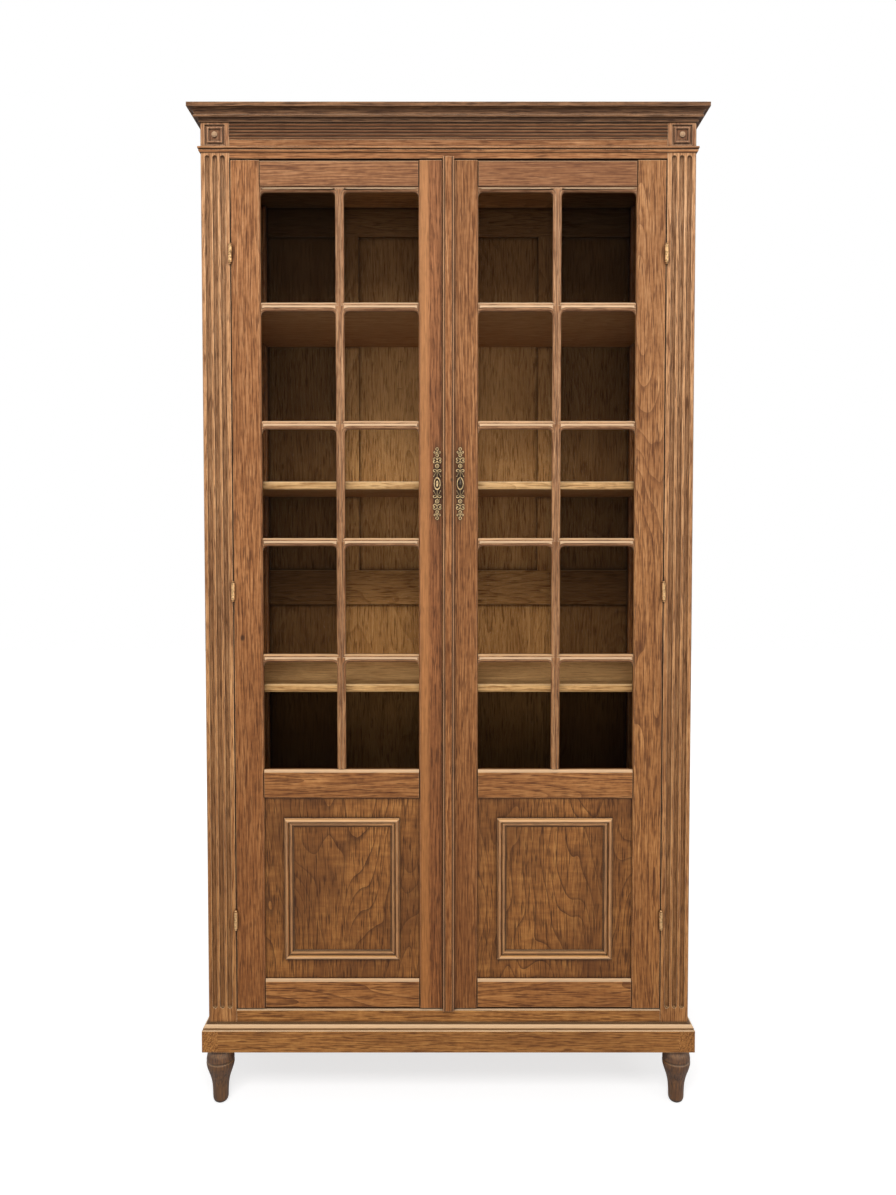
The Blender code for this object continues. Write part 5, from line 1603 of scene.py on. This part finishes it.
@dataclass
class Door:
    """One door: stiles, rails, glazing bars, glass and panel.

    Attributes:
        side: Which door it is.
        seed: Where its boards come from.
        half_bar: Half the width of a glazing bar.
        fillet: How far the bars' raised fillet lies inside their edge, how wide its slope
            is, and how far it stands out.
        fillet_light: The painted highlight on the fillet of the level bars, and the painted shade on that of
            the upright one.
        fillet_crown: How far a face stands out to belong to the fillet.
        struck: How far a rail's upper edge is rounded.
        struck_rub: How strong the painted highlight on that edge is.
        field: How wide the panel's flat border is at its back, and how far its field stands
            out from it there.
        knot: The knot in the left hinge stile.
        plate_dirt_and_shade: Half the width and height of the dirt and painted shade round the key plate.
        plate_dirt_and_shade_depth: How dark that dirt and painted shade are.
        plate_dirt_and_shade_tint: Their colour.
        stripe: The pale stripe along the left meeting stile.
        greyed: The greyer wood of the top rails.
    """

    side: str
    seed: int
    half_bar: float = 0.0095
    fillet: Point = (0.0030, 0.0004, 0.0013)
    fillet_light: Pair = (0.85, -0.25)
    fillet_crown: float = 0.0009
    struck: float = 0.0038
    struck_rub: float = 0.7
    field: Pair = (0.018, 0.0022)
    knot: Mark = Mark((-0.4654, 1.081), (0.006, 0.009))
    plate_dirt_and_shade: Pair = (0.0135, 0.110)
    plate_dirt_and_shade_depth: float = 0.95
    plate_dirt_and_shade_tint: Colour = shade(40, 24, 12)
    stripe: Mark = Mark((-0.0538, 1.2), (0.0135, ENDLESS), 0.38, shade(216, 154, 100))
    greyed: Mark = Mark((0.0, 2.115), (ENDLESS, 0.09), 0.25, shade(112, 78, 62))

    def build(self) -> None:
        """Make and dress every piece."""
        self.stiles()
        for number, rail in enumerate(("bottom_rail", "middle_rail", "top_rail")):
            self.rail(rail, self.seed + 3 + number)
        self.bars()
        GLASS.dress(frame["nodes"][f"{self.side}_door_glass"])
        front = self.panel()
        PanelMoulding(self.side, self.seed + 14).build(front)

    def stiles(self) -> None:
        """Dress both stiles, the meeting one with dirt and painted shade round its key plate."""
        left = self.side == "left"
        hinge_wood, meeting_wood = (OAK, RED_OAK) if left else (RAIL_OAK, MEETING_OAK)
        low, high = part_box(f"{self.side}_escutcheon")
        around = ((low.x + high.x) / 2, (low.z + high.z) / 2)
        # Dirt and painted shade round the openwork key plate
        plate_dirt_and_shade = Mark(around, self.plate_dirt_and_shade, self.plate_dirt_and_shade_depth, self.plate_dirt_and_shade_tint)
        for name, wood, seed, marks in (
            ("hinge", hinge_wood, self.seed, [self.knot] if left else []),
            ("meeting", meeting_wood, self.seed + 2, [self.stripe, plate_dirt_and_shade] if left else [plate_dirt_and_shade]),
        ):
            wood.dress(frame["nodes"][f"{self.side}_door_{name}_stile"], Run.UPRIGHT, seed, marks=marks)

    def rail(self, rail: str, seed: int) -> None:
        """Make one rail; the two lower ones have a moulding struck along their top edge.

        Args:
            rail: Which of the three it is.
            seed: Which board it was cut from.
        """
        door = f"{self.side}_door"
        piece = take_up(f"{door}_{rail}", f"{door}_struck_{rail}")
        if rail == "top_rail":
            hang(MEETING_OAK.dress(smooth(piece), Run.ACROSS, seed, marks=[self.greyed]), door)
            return
        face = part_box(f"{door}_{rail}")[0].y
        with on_bench(piece, "EDGE"):
            edges = [edge for edge in bmesh.from_edit_mesh(piece.data).edges if runs_level(edge, face)]
            level = max(edge.verts[0].co.z for edge in edges)
            pick(
                piece,
                "edges",
                lambda edge: runs_level(edge, face) and abs(edge.verts[0].co.z - level) < NEAR,
            )
            bpy.ops.mesh.bevel(offset=self.struck, segments=3, profile=0.5)
        foot, back = level - self.struck + NEAR, face + self.struck - 2 * NEAR
        # A painted highlight on the struck top edge
        weather(piece, lambda place: self.struck_rub if place.z > foot and place.y < back else 0.0)
        hang(RAIL_OAK.dress(smooth(piece), Run.ACROSS, seed), door)

    def bars(self) -> None:
        """Make the lattice, parted where its upright bar crosses the others."""
        door = f"{self.side}_door"
        piece = take_up(f"{door}_glazing_bars", f"{door}_lattice")
        low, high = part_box(f"{door}_glazing_bars")
        middle = (low.x + high.x) / 2
        inset, slope, proud = self.fillet
        with on_bench(piece):
            pick(
                piece,
                "faces",
                lambda face: face.normal.y < FACES_FRONT and face.calc_center_median().y < low.y + FRONT_SKIN,
            )
            bpy.ops.mesh.inset(thickness=inset, depth=0.0, use_boundary=True)
            bpy.ops.mesh.inset(thickness=slope, depth=0.0, use_boundary=True)
            bpy.ops.transform.translate(value=(0, -proud, 0))
        for edge in (middle - self.half_bar, middle + self.half_bar):
            saw(piece, (edge, 0, 0), (1, 0, 0))

        def crosses(place: Vector) -> bool:
            """Whether a place lies on a level bar."""
            return abs(place.x - middle) > self.half_bar

        def painted_light(place: Vector) -> float:
            """The painted highlight on the raised fillet of the level bars, and the painted shade on that of
            the upright one.
            """
            worn = self.fillet_light[0] if crosses(place) else self.fillet_light[1]
            return worn * (place.y < low.y - self.fillet_crown)

        mark_turned(piece, crosses)
        # Painted highlight on the level bars' fillet, painted shade on the upright bar's
        weather(piece, painted_light)
        hang(BAR_OAK.dress(smooth(piece), Run.UPRIGHT, self.seed + 8, turned=Run.ACROSS), door)

    def panel(self) -> float:
        """Make the flat panel in its grooves.

        Returns:
            The plane of its face.
        """
        door = f"{self.side}_door"
        low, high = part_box(f"{door}_panel")
        front = low.y + PanelMoulding.proud
        border, proud = self.field
        piece = block((low.x, front, low.z), (high.x, high.y, high.z))
        with on_bench(piece):
            pick(piece, "faces", lambda face: face.normal.y > 0.9)
            bpy.ops.mesh.inset(thickness=border, depth=0.0)
            bpy.ops.transform.translate(value=(0, proud, 0))
        settle(piece, f"{door}_figured_panel")
        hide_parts(f"{door}_panel")
        hang(CLOUDED_OAK.dress(piece, Run.UPRIGHT, self.seed + 12, slot="figured_oak"), door)
        return front


# Metalwork


@dataclass
class BarrelHinge:
    """One hinge: a lower half with its pin on the post, and an upper half on the door.

    Attributes:
        side: Its door.
        level: Which of the door's three hinges it is.
        radius: The radius of its barrel.
        gap: How far each half stays clear of the joint.
        outline: Share of the radius, and height, of the barrel with its finial.
        pin: The pin's radius and its height above the joint.
        leaf_reach: How far from the joint the leaf begins and ends.
        leaf_half: Half its thickness.
        blade: How far behind the doors' face it turns aside.
        blade_thickness: How thick it is there.
        root: How far from the axis it grows out of the barrel.
        steps: How many faces go round the barrel.
    """

    side: str
    level: str
    radius: float = 0.0042
    gap: float = 0.00015
    outline: tuple[Pair, ...] = (
        (0.93, 0.00015), (1.0, 0.0007), (1.0, 0.0024), (0.9, 0.0028), (0.9, 0.0032), (1.0, 0.0036),
        (1.0, 0.0158), (0.9, 0.0162), (0.9, 0.0166), (1.0, 0.0170), (0.97, 0.0188), (0.55, 0.0194),
        (0.50, 0.0199), (0.66, 0.0206), (0.74, 0.0214), (0.64, 0.0223), (0.36, 0.0231), (0.10, 0.0235),
    )
    pin: Pair = (0.0019, 0.0138)
    leaf_reach: Pair = (0.0015, 0.0175)
    leaf_half: float = 0.0006
    blade: float = 0.0108
    blade_thickness: float = 0.0012
    root: float = 0.003
    steps: int = 28

    def build(self) -> None:
        """Make both halves."""
        for part, body, up in (("post", "carcass", -1), ("door", f"{self.side}_door", 1)):
            node = f"{self.side}_{self.level}_hinge_{part}_half"
            piece = self.half(node, up)
            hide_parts(node)
            hang(HINGE_BRASS.dress(smooth(piece), "dark_brass"), body)

    def half(self, node: str, up: int) -> Piece:
        """Make one half: a ringed barrel with a finial, and its leaf.

        Args:
            node: The solid that it stands for.
            up: 1 for the half above the joint, -1 for the one below.

        Returns:
            The piece.
        """
        upper = node.replace("post_half", "door_half")
        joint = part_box(upper)[0].z - self.gap
        low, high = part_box(node)
        centre = (self.axis_x(low, high), low.y + self.radius, joint)
        profile = [(share * self.radius, up * height) for share, height in self.outline]
        if up < 0:
            profile = [*reversed(profile), (self.pin[0], -self.gap), self.pin]
        barrel = turn_on_lathe(profile, centre, self.steps)
        return unite([barrel, self.leaf(low, high, centre, up)], f"{node}_turned")

    def axis_x(self, low: Vector, high: Vector) -> float:
        """Find the hinge's axis: the barrel lies at one end of the half's box.

        Args:
            low: The lowest corner of the box.
            high: The highest corner of the box.

        Returns:
            The x of the axis.
        """
        joint = next(j for j in frame["joints"] if j["name"] == f"{self.side}_door_hinge")
        ends = (low.x + self.radius, high.x - self.radius)
        return min(ends, key=lambda end: abs(end - joint["pos_m"][0]))

    def leaf(self, low: Vector, high: Vector, centre: Point, up: int) -> Piece:
        """Make the cranked leaf from a small block that is drawn out twice.

        Args:
            low: The lowest corner of the half's box.
            high: The highest corner of the half's box.
            centre: The place of the joint on the axis.
            up: 1 for the upper half, -1 for the lower one.

        Returns:
            The leaf.
        """
        half, blade = self.leaf_half, FACE + self.blade
        foot, head = sorted(centre[2] + up * reach for reach in self.leaf_reach)
        piece = block((centre[0] - half, centre[1] + self.root, foot), (centre[0] + half, blade, head))
        left, right = abs(low.x - centre[0]), abs(high.x - centre[0])
        way = 1 if right > left else -1
        with on_bench(piece):
            pick(piece, "faces", lambda face: face.normal.y > 0.9)
            crank = (0, self.blade_thickness, 0)
            bpy.ops.mesh.extrude_region_move(TRANSFORM_OT_translate={"value": crank})
            bpy.ops.mesh.select_all(action="DESELECT")
            pick(
                piece,
                "faces",
                lambda face: face.normal.x * way > 0.9 and face.calc_center_median().y > blade,
            )
            aside = (way * (max(left, right) - half), 0, 0)
            bpy.ops.mesh.extrude_region_move(TRANSFORM_OT_translate={"value": aside})
        return piece


@dataclass(frozen=True)
class Curl:
    """One cast wire: where it starts, which way it heads, and the arcs that it follows.

    Attributes:
        across: Its start to the right of the middle, in millimetres.
        up: Its start above the middle.
        heading: Its first direction in degrees, counter-clockwise from the right.
        arcs: The radius of each arc in millimetres and its turn to the left in degrees.
    """

    across: float
    up: float
    heading: float
    arcs: tuple[Pair, ...]

    def mirrored(self, hand: int, way: int) -> "Curl":
        """Mirror the wire to another quarter of the plate.

        Args:
            hand: 1 for the right half, -1 for the left one.
            way: 1 for the upper half, -1 for the lower one.

        Returns:
            The mirrored wire.
        """
        heading = self.heading if hand > 0 else 180 - self.heading
        arcs = tuple((radius, hand * way * degrees) for radius, degrees in self.arcs)
        return Curl(hand * self.across, way * self.up, way * heading, arcs)


@dataclass
class KeyPlate:
    """A long openwork plate of cast scrolls, roundels and beads, sized in millimetres.

    Attributes:
        side: The door that it is nailed to.
        with_hole: Whether it has the keyhole.
        rim: How thick its wires are, in metres.
        wire_sides: How many sides a wire has.
        wire_step: By how many degrees a wire turns from ring to ring.
        wire_end: How many times as thick a wire is at its tip.
        oval: Half the width and height of the middle ring.
        spine: Where the upper spine begins and ends.
        roundels: The height and radius of the upper rings.
        berry: The height and radius of the bead in the lowest of them.
        spray: Where a straight leaf begins and ends.
        bud: The place and radius of the bead at its tip.
        curls: The wires of its upper right quarter.
        lintel: Half the length of the bar over the keyhole, and its height.
        kernel: The radius of the bead in an oval without a hole, and how tall it is.
        twig: The ends of a slanting leaf that only the blind plate has.
    """

    side: str
    with_hole: bool
    rim: float = 0.0012
    wire_sides: int = 8
    wire_step: float = 24.0
    wire_end: float = 1.35
    oval: Pair = (6.7, 13.0)
    spine: Pair = (14.0, 74.0)
    roundels: tuple[Pair, ...] = ((77.3, 3.0), (63.5, 3.2), (39.5, 3.9))
    berry: Pair = (39.5, 2.0)
    spray: tuple[Pair, Pair] = ((7.4, 16.5), (0.6, 30.0))
    bud: Point = (7.6, 16.5, 1.6)
    curls: tuple[Curl, ...] = (
        Curl(0.8, 27.0, 90, ((4.6, -120), (2.3, -200))),
        Curl(0.8, 51.0, -90, ((4.6, 120), (2.3, 200))),
        Curl(0.8, 53.0, 90, ((4.6, -120), (2.3, -200))),
        Curl(0.8, 72.0, -90, ((3.9, 110), (1.9, 200))),
    )
    lintel: Pair = (7.0, 10.5)
    kernel: Pair = (3.0, 2.6)
    twig: tuple[Pair, Pair] = ((-5.8, -45.0), (5.8, -35.0))

    def build(self) -> None:
        """Make the plate."""
        node = f"{self.side}_escutcheon"
        low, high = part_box(node)
        self.middle = ((low.x + high.x) / 2, low.y + self.rim, (low.z + high.z) / 2)
        parts = [self.ring(0.0, *self.oval)]
        for way in (-1, 1):
            parts.append(self.stem(*[(0.0, way * up) for up in self.spine]))
            parts += [self.ring(way * up, radius, radius) for up, radius in self.roundels]
            parts.append(self.bead(0.0, way * self.berry[0], self.berry[1]))
            for hand in (-1, 1):
                parts.append(self.stem(*[(hand * across, way * up) for across, up in self.spray]))
                parts.append(self.bead(hand * self.bud[0], way * self.bud[1], self.bud[2]))
                parts += [self.wire(curl.mirrored(hand, way)) for curl in self.curls]
        if self.with_hole:
            half, up = self.lintel
            parts.append(self.stem((-half, up), (half, up)))
        else:
            parts.append(self.bead(0.0, 0.0, *self.kernel))
            parts.append(self.stem(*self.twig))
        piece = unite(parts, f"{self.side}_key_plate")
        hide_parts(node)
        mark_crowns(piece)
        hang(BRASS.dress(smooth(piece, math.radians(60)), "aged_brass"), f"{self.side}_door")

    def at(self, across: float, up: float) -> Vector:
        """The place on the plate that lies some millimetres across and up from its middle."""
        return Vector((self.middle[0] + across / 1000, self.middle[1], self.middle[2] + up / 1000))

    def wire(self, curl: Curl) -> Piece:
        """Spin a small circle from arc to arc, and swell its end.

        Args:
            curl: The arcs that it follows.

        Returns:
            The wire.
        """
        place, heading = self.at(curl.across, curl.up), math.radians(curl.heading)
        bpy.ops.object.select_all(action="DESELECT")
        bpy.ops.mesh.primitive_circle_add(
            vertices=self.wire_sides,
            radius=self.rim,
            location=place,
            rotation=(0, QUARTER_TURN - heading, 0),
            fill_type="NGON",
        )
        piece = added()
        with on_bench(piece):
            bpy.ops.mesh.select_all(action="SELECT")
            for radius, degrees in curl.arcs:
                turn = math.radians(degrees)
                reach = math.copysign(radius / 1000, turn)
                centre = place + self.left_of(heading) * reach
                steps = max(3, round(abs(degrees) / self.wire_step))
                bpy.ops.mesh.spin(steps=steps, angle=turn, center=centre, axis=(0, 1, 0))
                heading += turn
                place = centre - self.left_of(heading) * reach
            thicker = (self.wire_end, self.wire_end, self.wire_end)
            bpy.ops.transform.resize(value=thicker, center_override=place)
            bpy.ops.mesh.select_all(action="SELECT")
            bpy.ops.mesh.normals_make_consistent(inside=False)
        return piece

    def left_of(self, heading: float) -> Vector:
        """The way that lies to the left of a heading, seen from the front."""
        return Vector((-math.sin(heading), 0.0, math.cos(heading)))

    def ring(self, up: float, half_width: float, half_height: float) -> Piece:
        """Make a round or oval ring.

        Args:
            up: The height of its middle.
            half_width: Half its width.
            half_height: Half its height.

        Returns:
            The ring.
        """
        bpy.ops.object.select_all(action="DESELECT")
        bpy.ops.mesh.primitive_torus_add(
            location=self.at(0.0, up),
            rotation=(QUARTER_TURN, 0, 0),
            major_radius=half_width / 1000,
            minor_radius=self.rim,
            major_segments=24,
            minor_segments=8,
        )
        bpy.context.object.scale = (1, half_height / half_width, 1)
        return added()

    def bead(self, across: float, up: float, radius: float, tall: float = 1.0) -> Piece:
        """Make a flat bead or leaf.

        Args:
            across: Its place to the right of the middle.
            up: Its place above the middle.
            radius: Half its width.
            tall: How many times as tall as wide it is.

        Returns:
            The bead.
        """
        size = (radius / 1000, self.rim, tall * radius / 1000)
        bpy.ops.object.select_all(action="DESELECT")
        bpy.ops.mesh.primitive_uv_sphere_add(
            segments=14, ring_count=8, radius=1.0, location=self.at(across, up), scale=size
        )
        return added()

    def stem(self, start: Pair, stop: Pair) -> Piece:
        """Make a straight wire.

        Args:
            start: Where it begins, as across and up.
            stop: Where it ends.

        Returns:
            The wire.
        """
        first, last = self.at(*start), self.at(*stop)
        way = last - first
        bpy.ops.object.select_all(action="DESELECT")
        bpy.ops.mesh.primitive_cylinder_add(
            vertices=10,
            radius=self.rim,
            depth=way.length,
            location=(first + last) / 2,
            rotation=way.to_track_quat("Z", "Y").to_euler(),
        )
        return added()


@dataclass
class Locksmith:
    """The key, the lock and the two sliding bolts.

    Attributes:
        nodes: The solids of them.
    """

    nodes: tuple[str, ...] = ("key", "lock_bolt", "lock_case", "left_door_top_bolt", "left_door_bottom_bolt")

    def build(self) -> None:
        """Dress what the locksmith made."""
        for node in self.nodes:
            IRON.dress(frame["nodes"][node], "old_steel")


@dataclass
class CoverStrip:
    """The beaded strip on the meeting edge.

    Attributes:
        hollows: The plane behind which it has painted shade.
        crowns: The plane before which it has a painted highlight.
        wear: How strong the painted shade in its hollows and the painted highlight on its beads are.
        worn: A dark spot on it beside the keyhole.
    """

    hollows: float = -0.2232
    crowns: float = -0.2250
    wear: Pair = (-0.8, 0.15)
    worn: Mark = Mark((0.0079, 1.437), (0.004, 0.006))

    def build(self) -> None:
        """Make and dress the strip."""
        piece = smooth(take_up("cover_strip", "beaded_cover_strip"))
        # Painted shade in the strip's hollows, a painted highlight on its beads
        weather(piece, self.light_and_shade_at)
        hang(OAK.dress(piece, Run.UPRIGHT, 88, marks=[self.worn]), "right_door")

    def light_and_shade_at(self, place: Vector) -> float:
        """The painted shade in the strip's hollows and the painted highlight on its beads.

        Args:
            place: The middle of a face.

        Returns:
            Its painted highlight, to 1, or its painted shade, to -1.
        """
        if place.y > self.hollows:
            return self.wear[0]
        return self.wear[1] if place.y < self.crowns else 0.0


# The studio


@dataclass(frozen=True)
class Lamp:
    """A broad soft lamp.

    Attributes:
        name: Its name.
        place: Where it hangs.
        towards: What it points at.
        size: Its width and height.
        power: Its power in watts.
        glints: Whether it shows in reflections.
    """

    name: str
    place: Point
    towards: Point
    size: Pair
    power: float
    glints: bool = True

    def build(self) -> None:
        """Hang the lamp."""
        light = bpy.data.lights.new(self.name, "AREA")
        light.shape = "RECTANGLE"
        light.size, light.size_y = self.size
        light.energy = self.power
        lamp = bpy.data.objects.new(self.name, light)
        lamp.location = self.place
        way = Vector(self.towards) - Vector(self.place)
        lamp.rotation_euler = way.to_track_quat("-Z", "Y").to_euler()
        lamp.visible_glossy = self.glints
        bpy.context.scene.collection.objects.link(lamp)


@dataclass
class Studio:
    """Floor, light and camera.

    Attributes:
        distance: From the doors' face to the lens.
        height: Of the lens above the floor.
        pitch: How far the camera looks down, in degrees.
        focal: The focal length in pixels of the photograph's 1195 rows.
        centre: The pixel that the lens looks straight at.
        frame_size: The photograph's columns and rows.
        sensor: The height of the camera's sensor in millimetres.
        floor_size: The length of the floor's sides.
        floor_tone: How pale the floor is.
        floor_matt: How matt the floor is.
        floor_near: How far from the middle the floor counts as near, and from where as far off.
        floor_glow: How brightly it shines, only to the camera, near the cabinet and far off.
        haze: How strongly light comes from all round.
        lamps: The lamps.
    """

    distance: float = 2.0225
    height: float = 1.311
    pitch: float = 2.1
    focal: float = 898.0
    centre: Pair = (448.4, 569.0)
    frame_size: tuple[int, int] = (896, 1195)
    sensor: float = 36.0
    floor_size: float = 16.0
    floor_tone: float = 0.55
    floor_matt: float = 0.9
    floor_near: Pair = (0.7, 1.8)
    floor_glow: Pair = (0.68, 0.93)
    haze: float = 0.30
    lamps: tuple[Lamp, ...] = (
        Lamp("upper_lamp", (-0.4, -3.1, 3.5), (0, 0, 1.35), (2.4, 1.2), 100.0, glints=False),
        Lamp("fill_lamp", (0.0, -3.5, 1.45), (0, 0, 1.3), (1.0, 0.8), 22.0, glints=False),
        Lamp("side_lamp", (2.8, -3.0, 2.2), (0, 0, 1.2), (1.6, 1.6), 18.0),
        Lamp("back_lamp", (0.6, 3.2, 3.0), (0, 0, 1.2), (2.4, 1.6), 34.0),
    )

    def build(self) -> None:
        """Set up all three."""
        self.camera()
        self.floor()
        self.world()
        for lamp in self.lamps:
            lamp.build()

    def camera(self) -> None:
        """Place the camera at the photograph's point of view."""
        width, height = self.frame_size
        lens = bpy.data.cameras.new("view")
        lens.sensor_fit = "VERTICAL"
        lens.sensor_height = self.sensor
        lens.lens = self.focal * self.sensor / height
        lens.shift_x = -(self.centre[0] - width / 2) / height
        lens.shift_y = (self.centre[1] - height / 2) / height
        camera = bpy.data.objects.new("view", lens)
        camera.location = (0, FACE - self.distance, self.height)
        camera.rotation_euler = (QUARTER_TURN - math.radians(self.pitch), 0, 0)
        bpy.context.scene.collection.objects.link(camera)
        bpy.context.scene.camera = camera

    def floor(self) -> None:
        """Lay a pale floor that is white to the camera but for the shadow on it."""
        bpy.ops.object.select_all(action="DESELECT")
        bpy.ops.mesh.primitive_plane_add(size=self.floor_size, location=(0, 0, 0))
        floor = bpy.context.object
        floor.name = "floor"
        desk = Desk("floor")
        tone = (self.floor_tone, self.floor_tone, self.floor_tone, 1)
        desk.give({"Base Color": tone, "Roughness": self.floor_matt, "Specular IOR Level": 0.0})
        seen = desk.node("LightPath").outputs["Is Camera Ray"]
        away = desk.node("VectorMath", {0: desk.place()}, operation="LENGTH").outputs["Value"]
        glow = desk.product(seen, desk.span(away, *self.floor_near, *self.floor_glow))
        glow = desk.node("Emission", {"Color": WHITE, "Strength": glow}).outputs[0]
        both = desk.node("AddShader", {0: desk.shader.outputs[0], 1: glow}).outputs[0]
        desk.put(desk.output.inputs["Surface"], both)
        desk.cover(floor)

    def world(self) -> None:
        """Light from all round, and white behind the cabinet, in its glass and in reflections."""
        world = bpy.data.worlds.new("studio")
        bpy.context.scene.world = world
        world.use_nodes = True
        world.node_tree.nodes.clear()
        tree = Tree(world.node_tree)
        path = tree.node("LightPath").outputs
        most = tree.sum("MAXIMUM", path["Is Camera Ray"], path["Is Transmission Ray"])
        most = tree.sum("MAXIMUM", most, path["Is Glossy Ray"])
        soft = tree.node("Background", {"Color": WHITE, "Strength": self.haze}).outputs[0]
        white = tree.node("Background", {"Color": WHITE, "Strength": 1.0}).outputs[0]
        mixed = tree.node("MixShader", {0: most, 1: soft, 2: white}).outputs[0]
        tree.put(tree.node("OutputWorld").inputs["Surface"], mixed)


def main() -> None:
    """Set up the studio, then build the cabinet's pieces in order."""
    logging.basicConfig(level=logging.INFO, format="%(name)s: %(message)s")
    bpy.context.scene.view_settings.view_transform = "Standard"
    Studio().build()
    Carcass().build()
    Mouldings().build()
    for number, (end, side) in enumerate((e, s) for e in ("front", "rear") for s in SIDES):
        TurnedFoot(f"{side}_{end}_foot", 71 + number).build()
    Inside().build()
    for number, side in enumerate(SIDES):
        Door(side, 101 + 20 * number).build()
        for level in HINGES:
            BarrelHinge(side, level).build()
        KeyPlate(side, side == "right").build()
    CoverStrip().build()
    Locksmith().build()


if __name__ == "__main__":
    main()
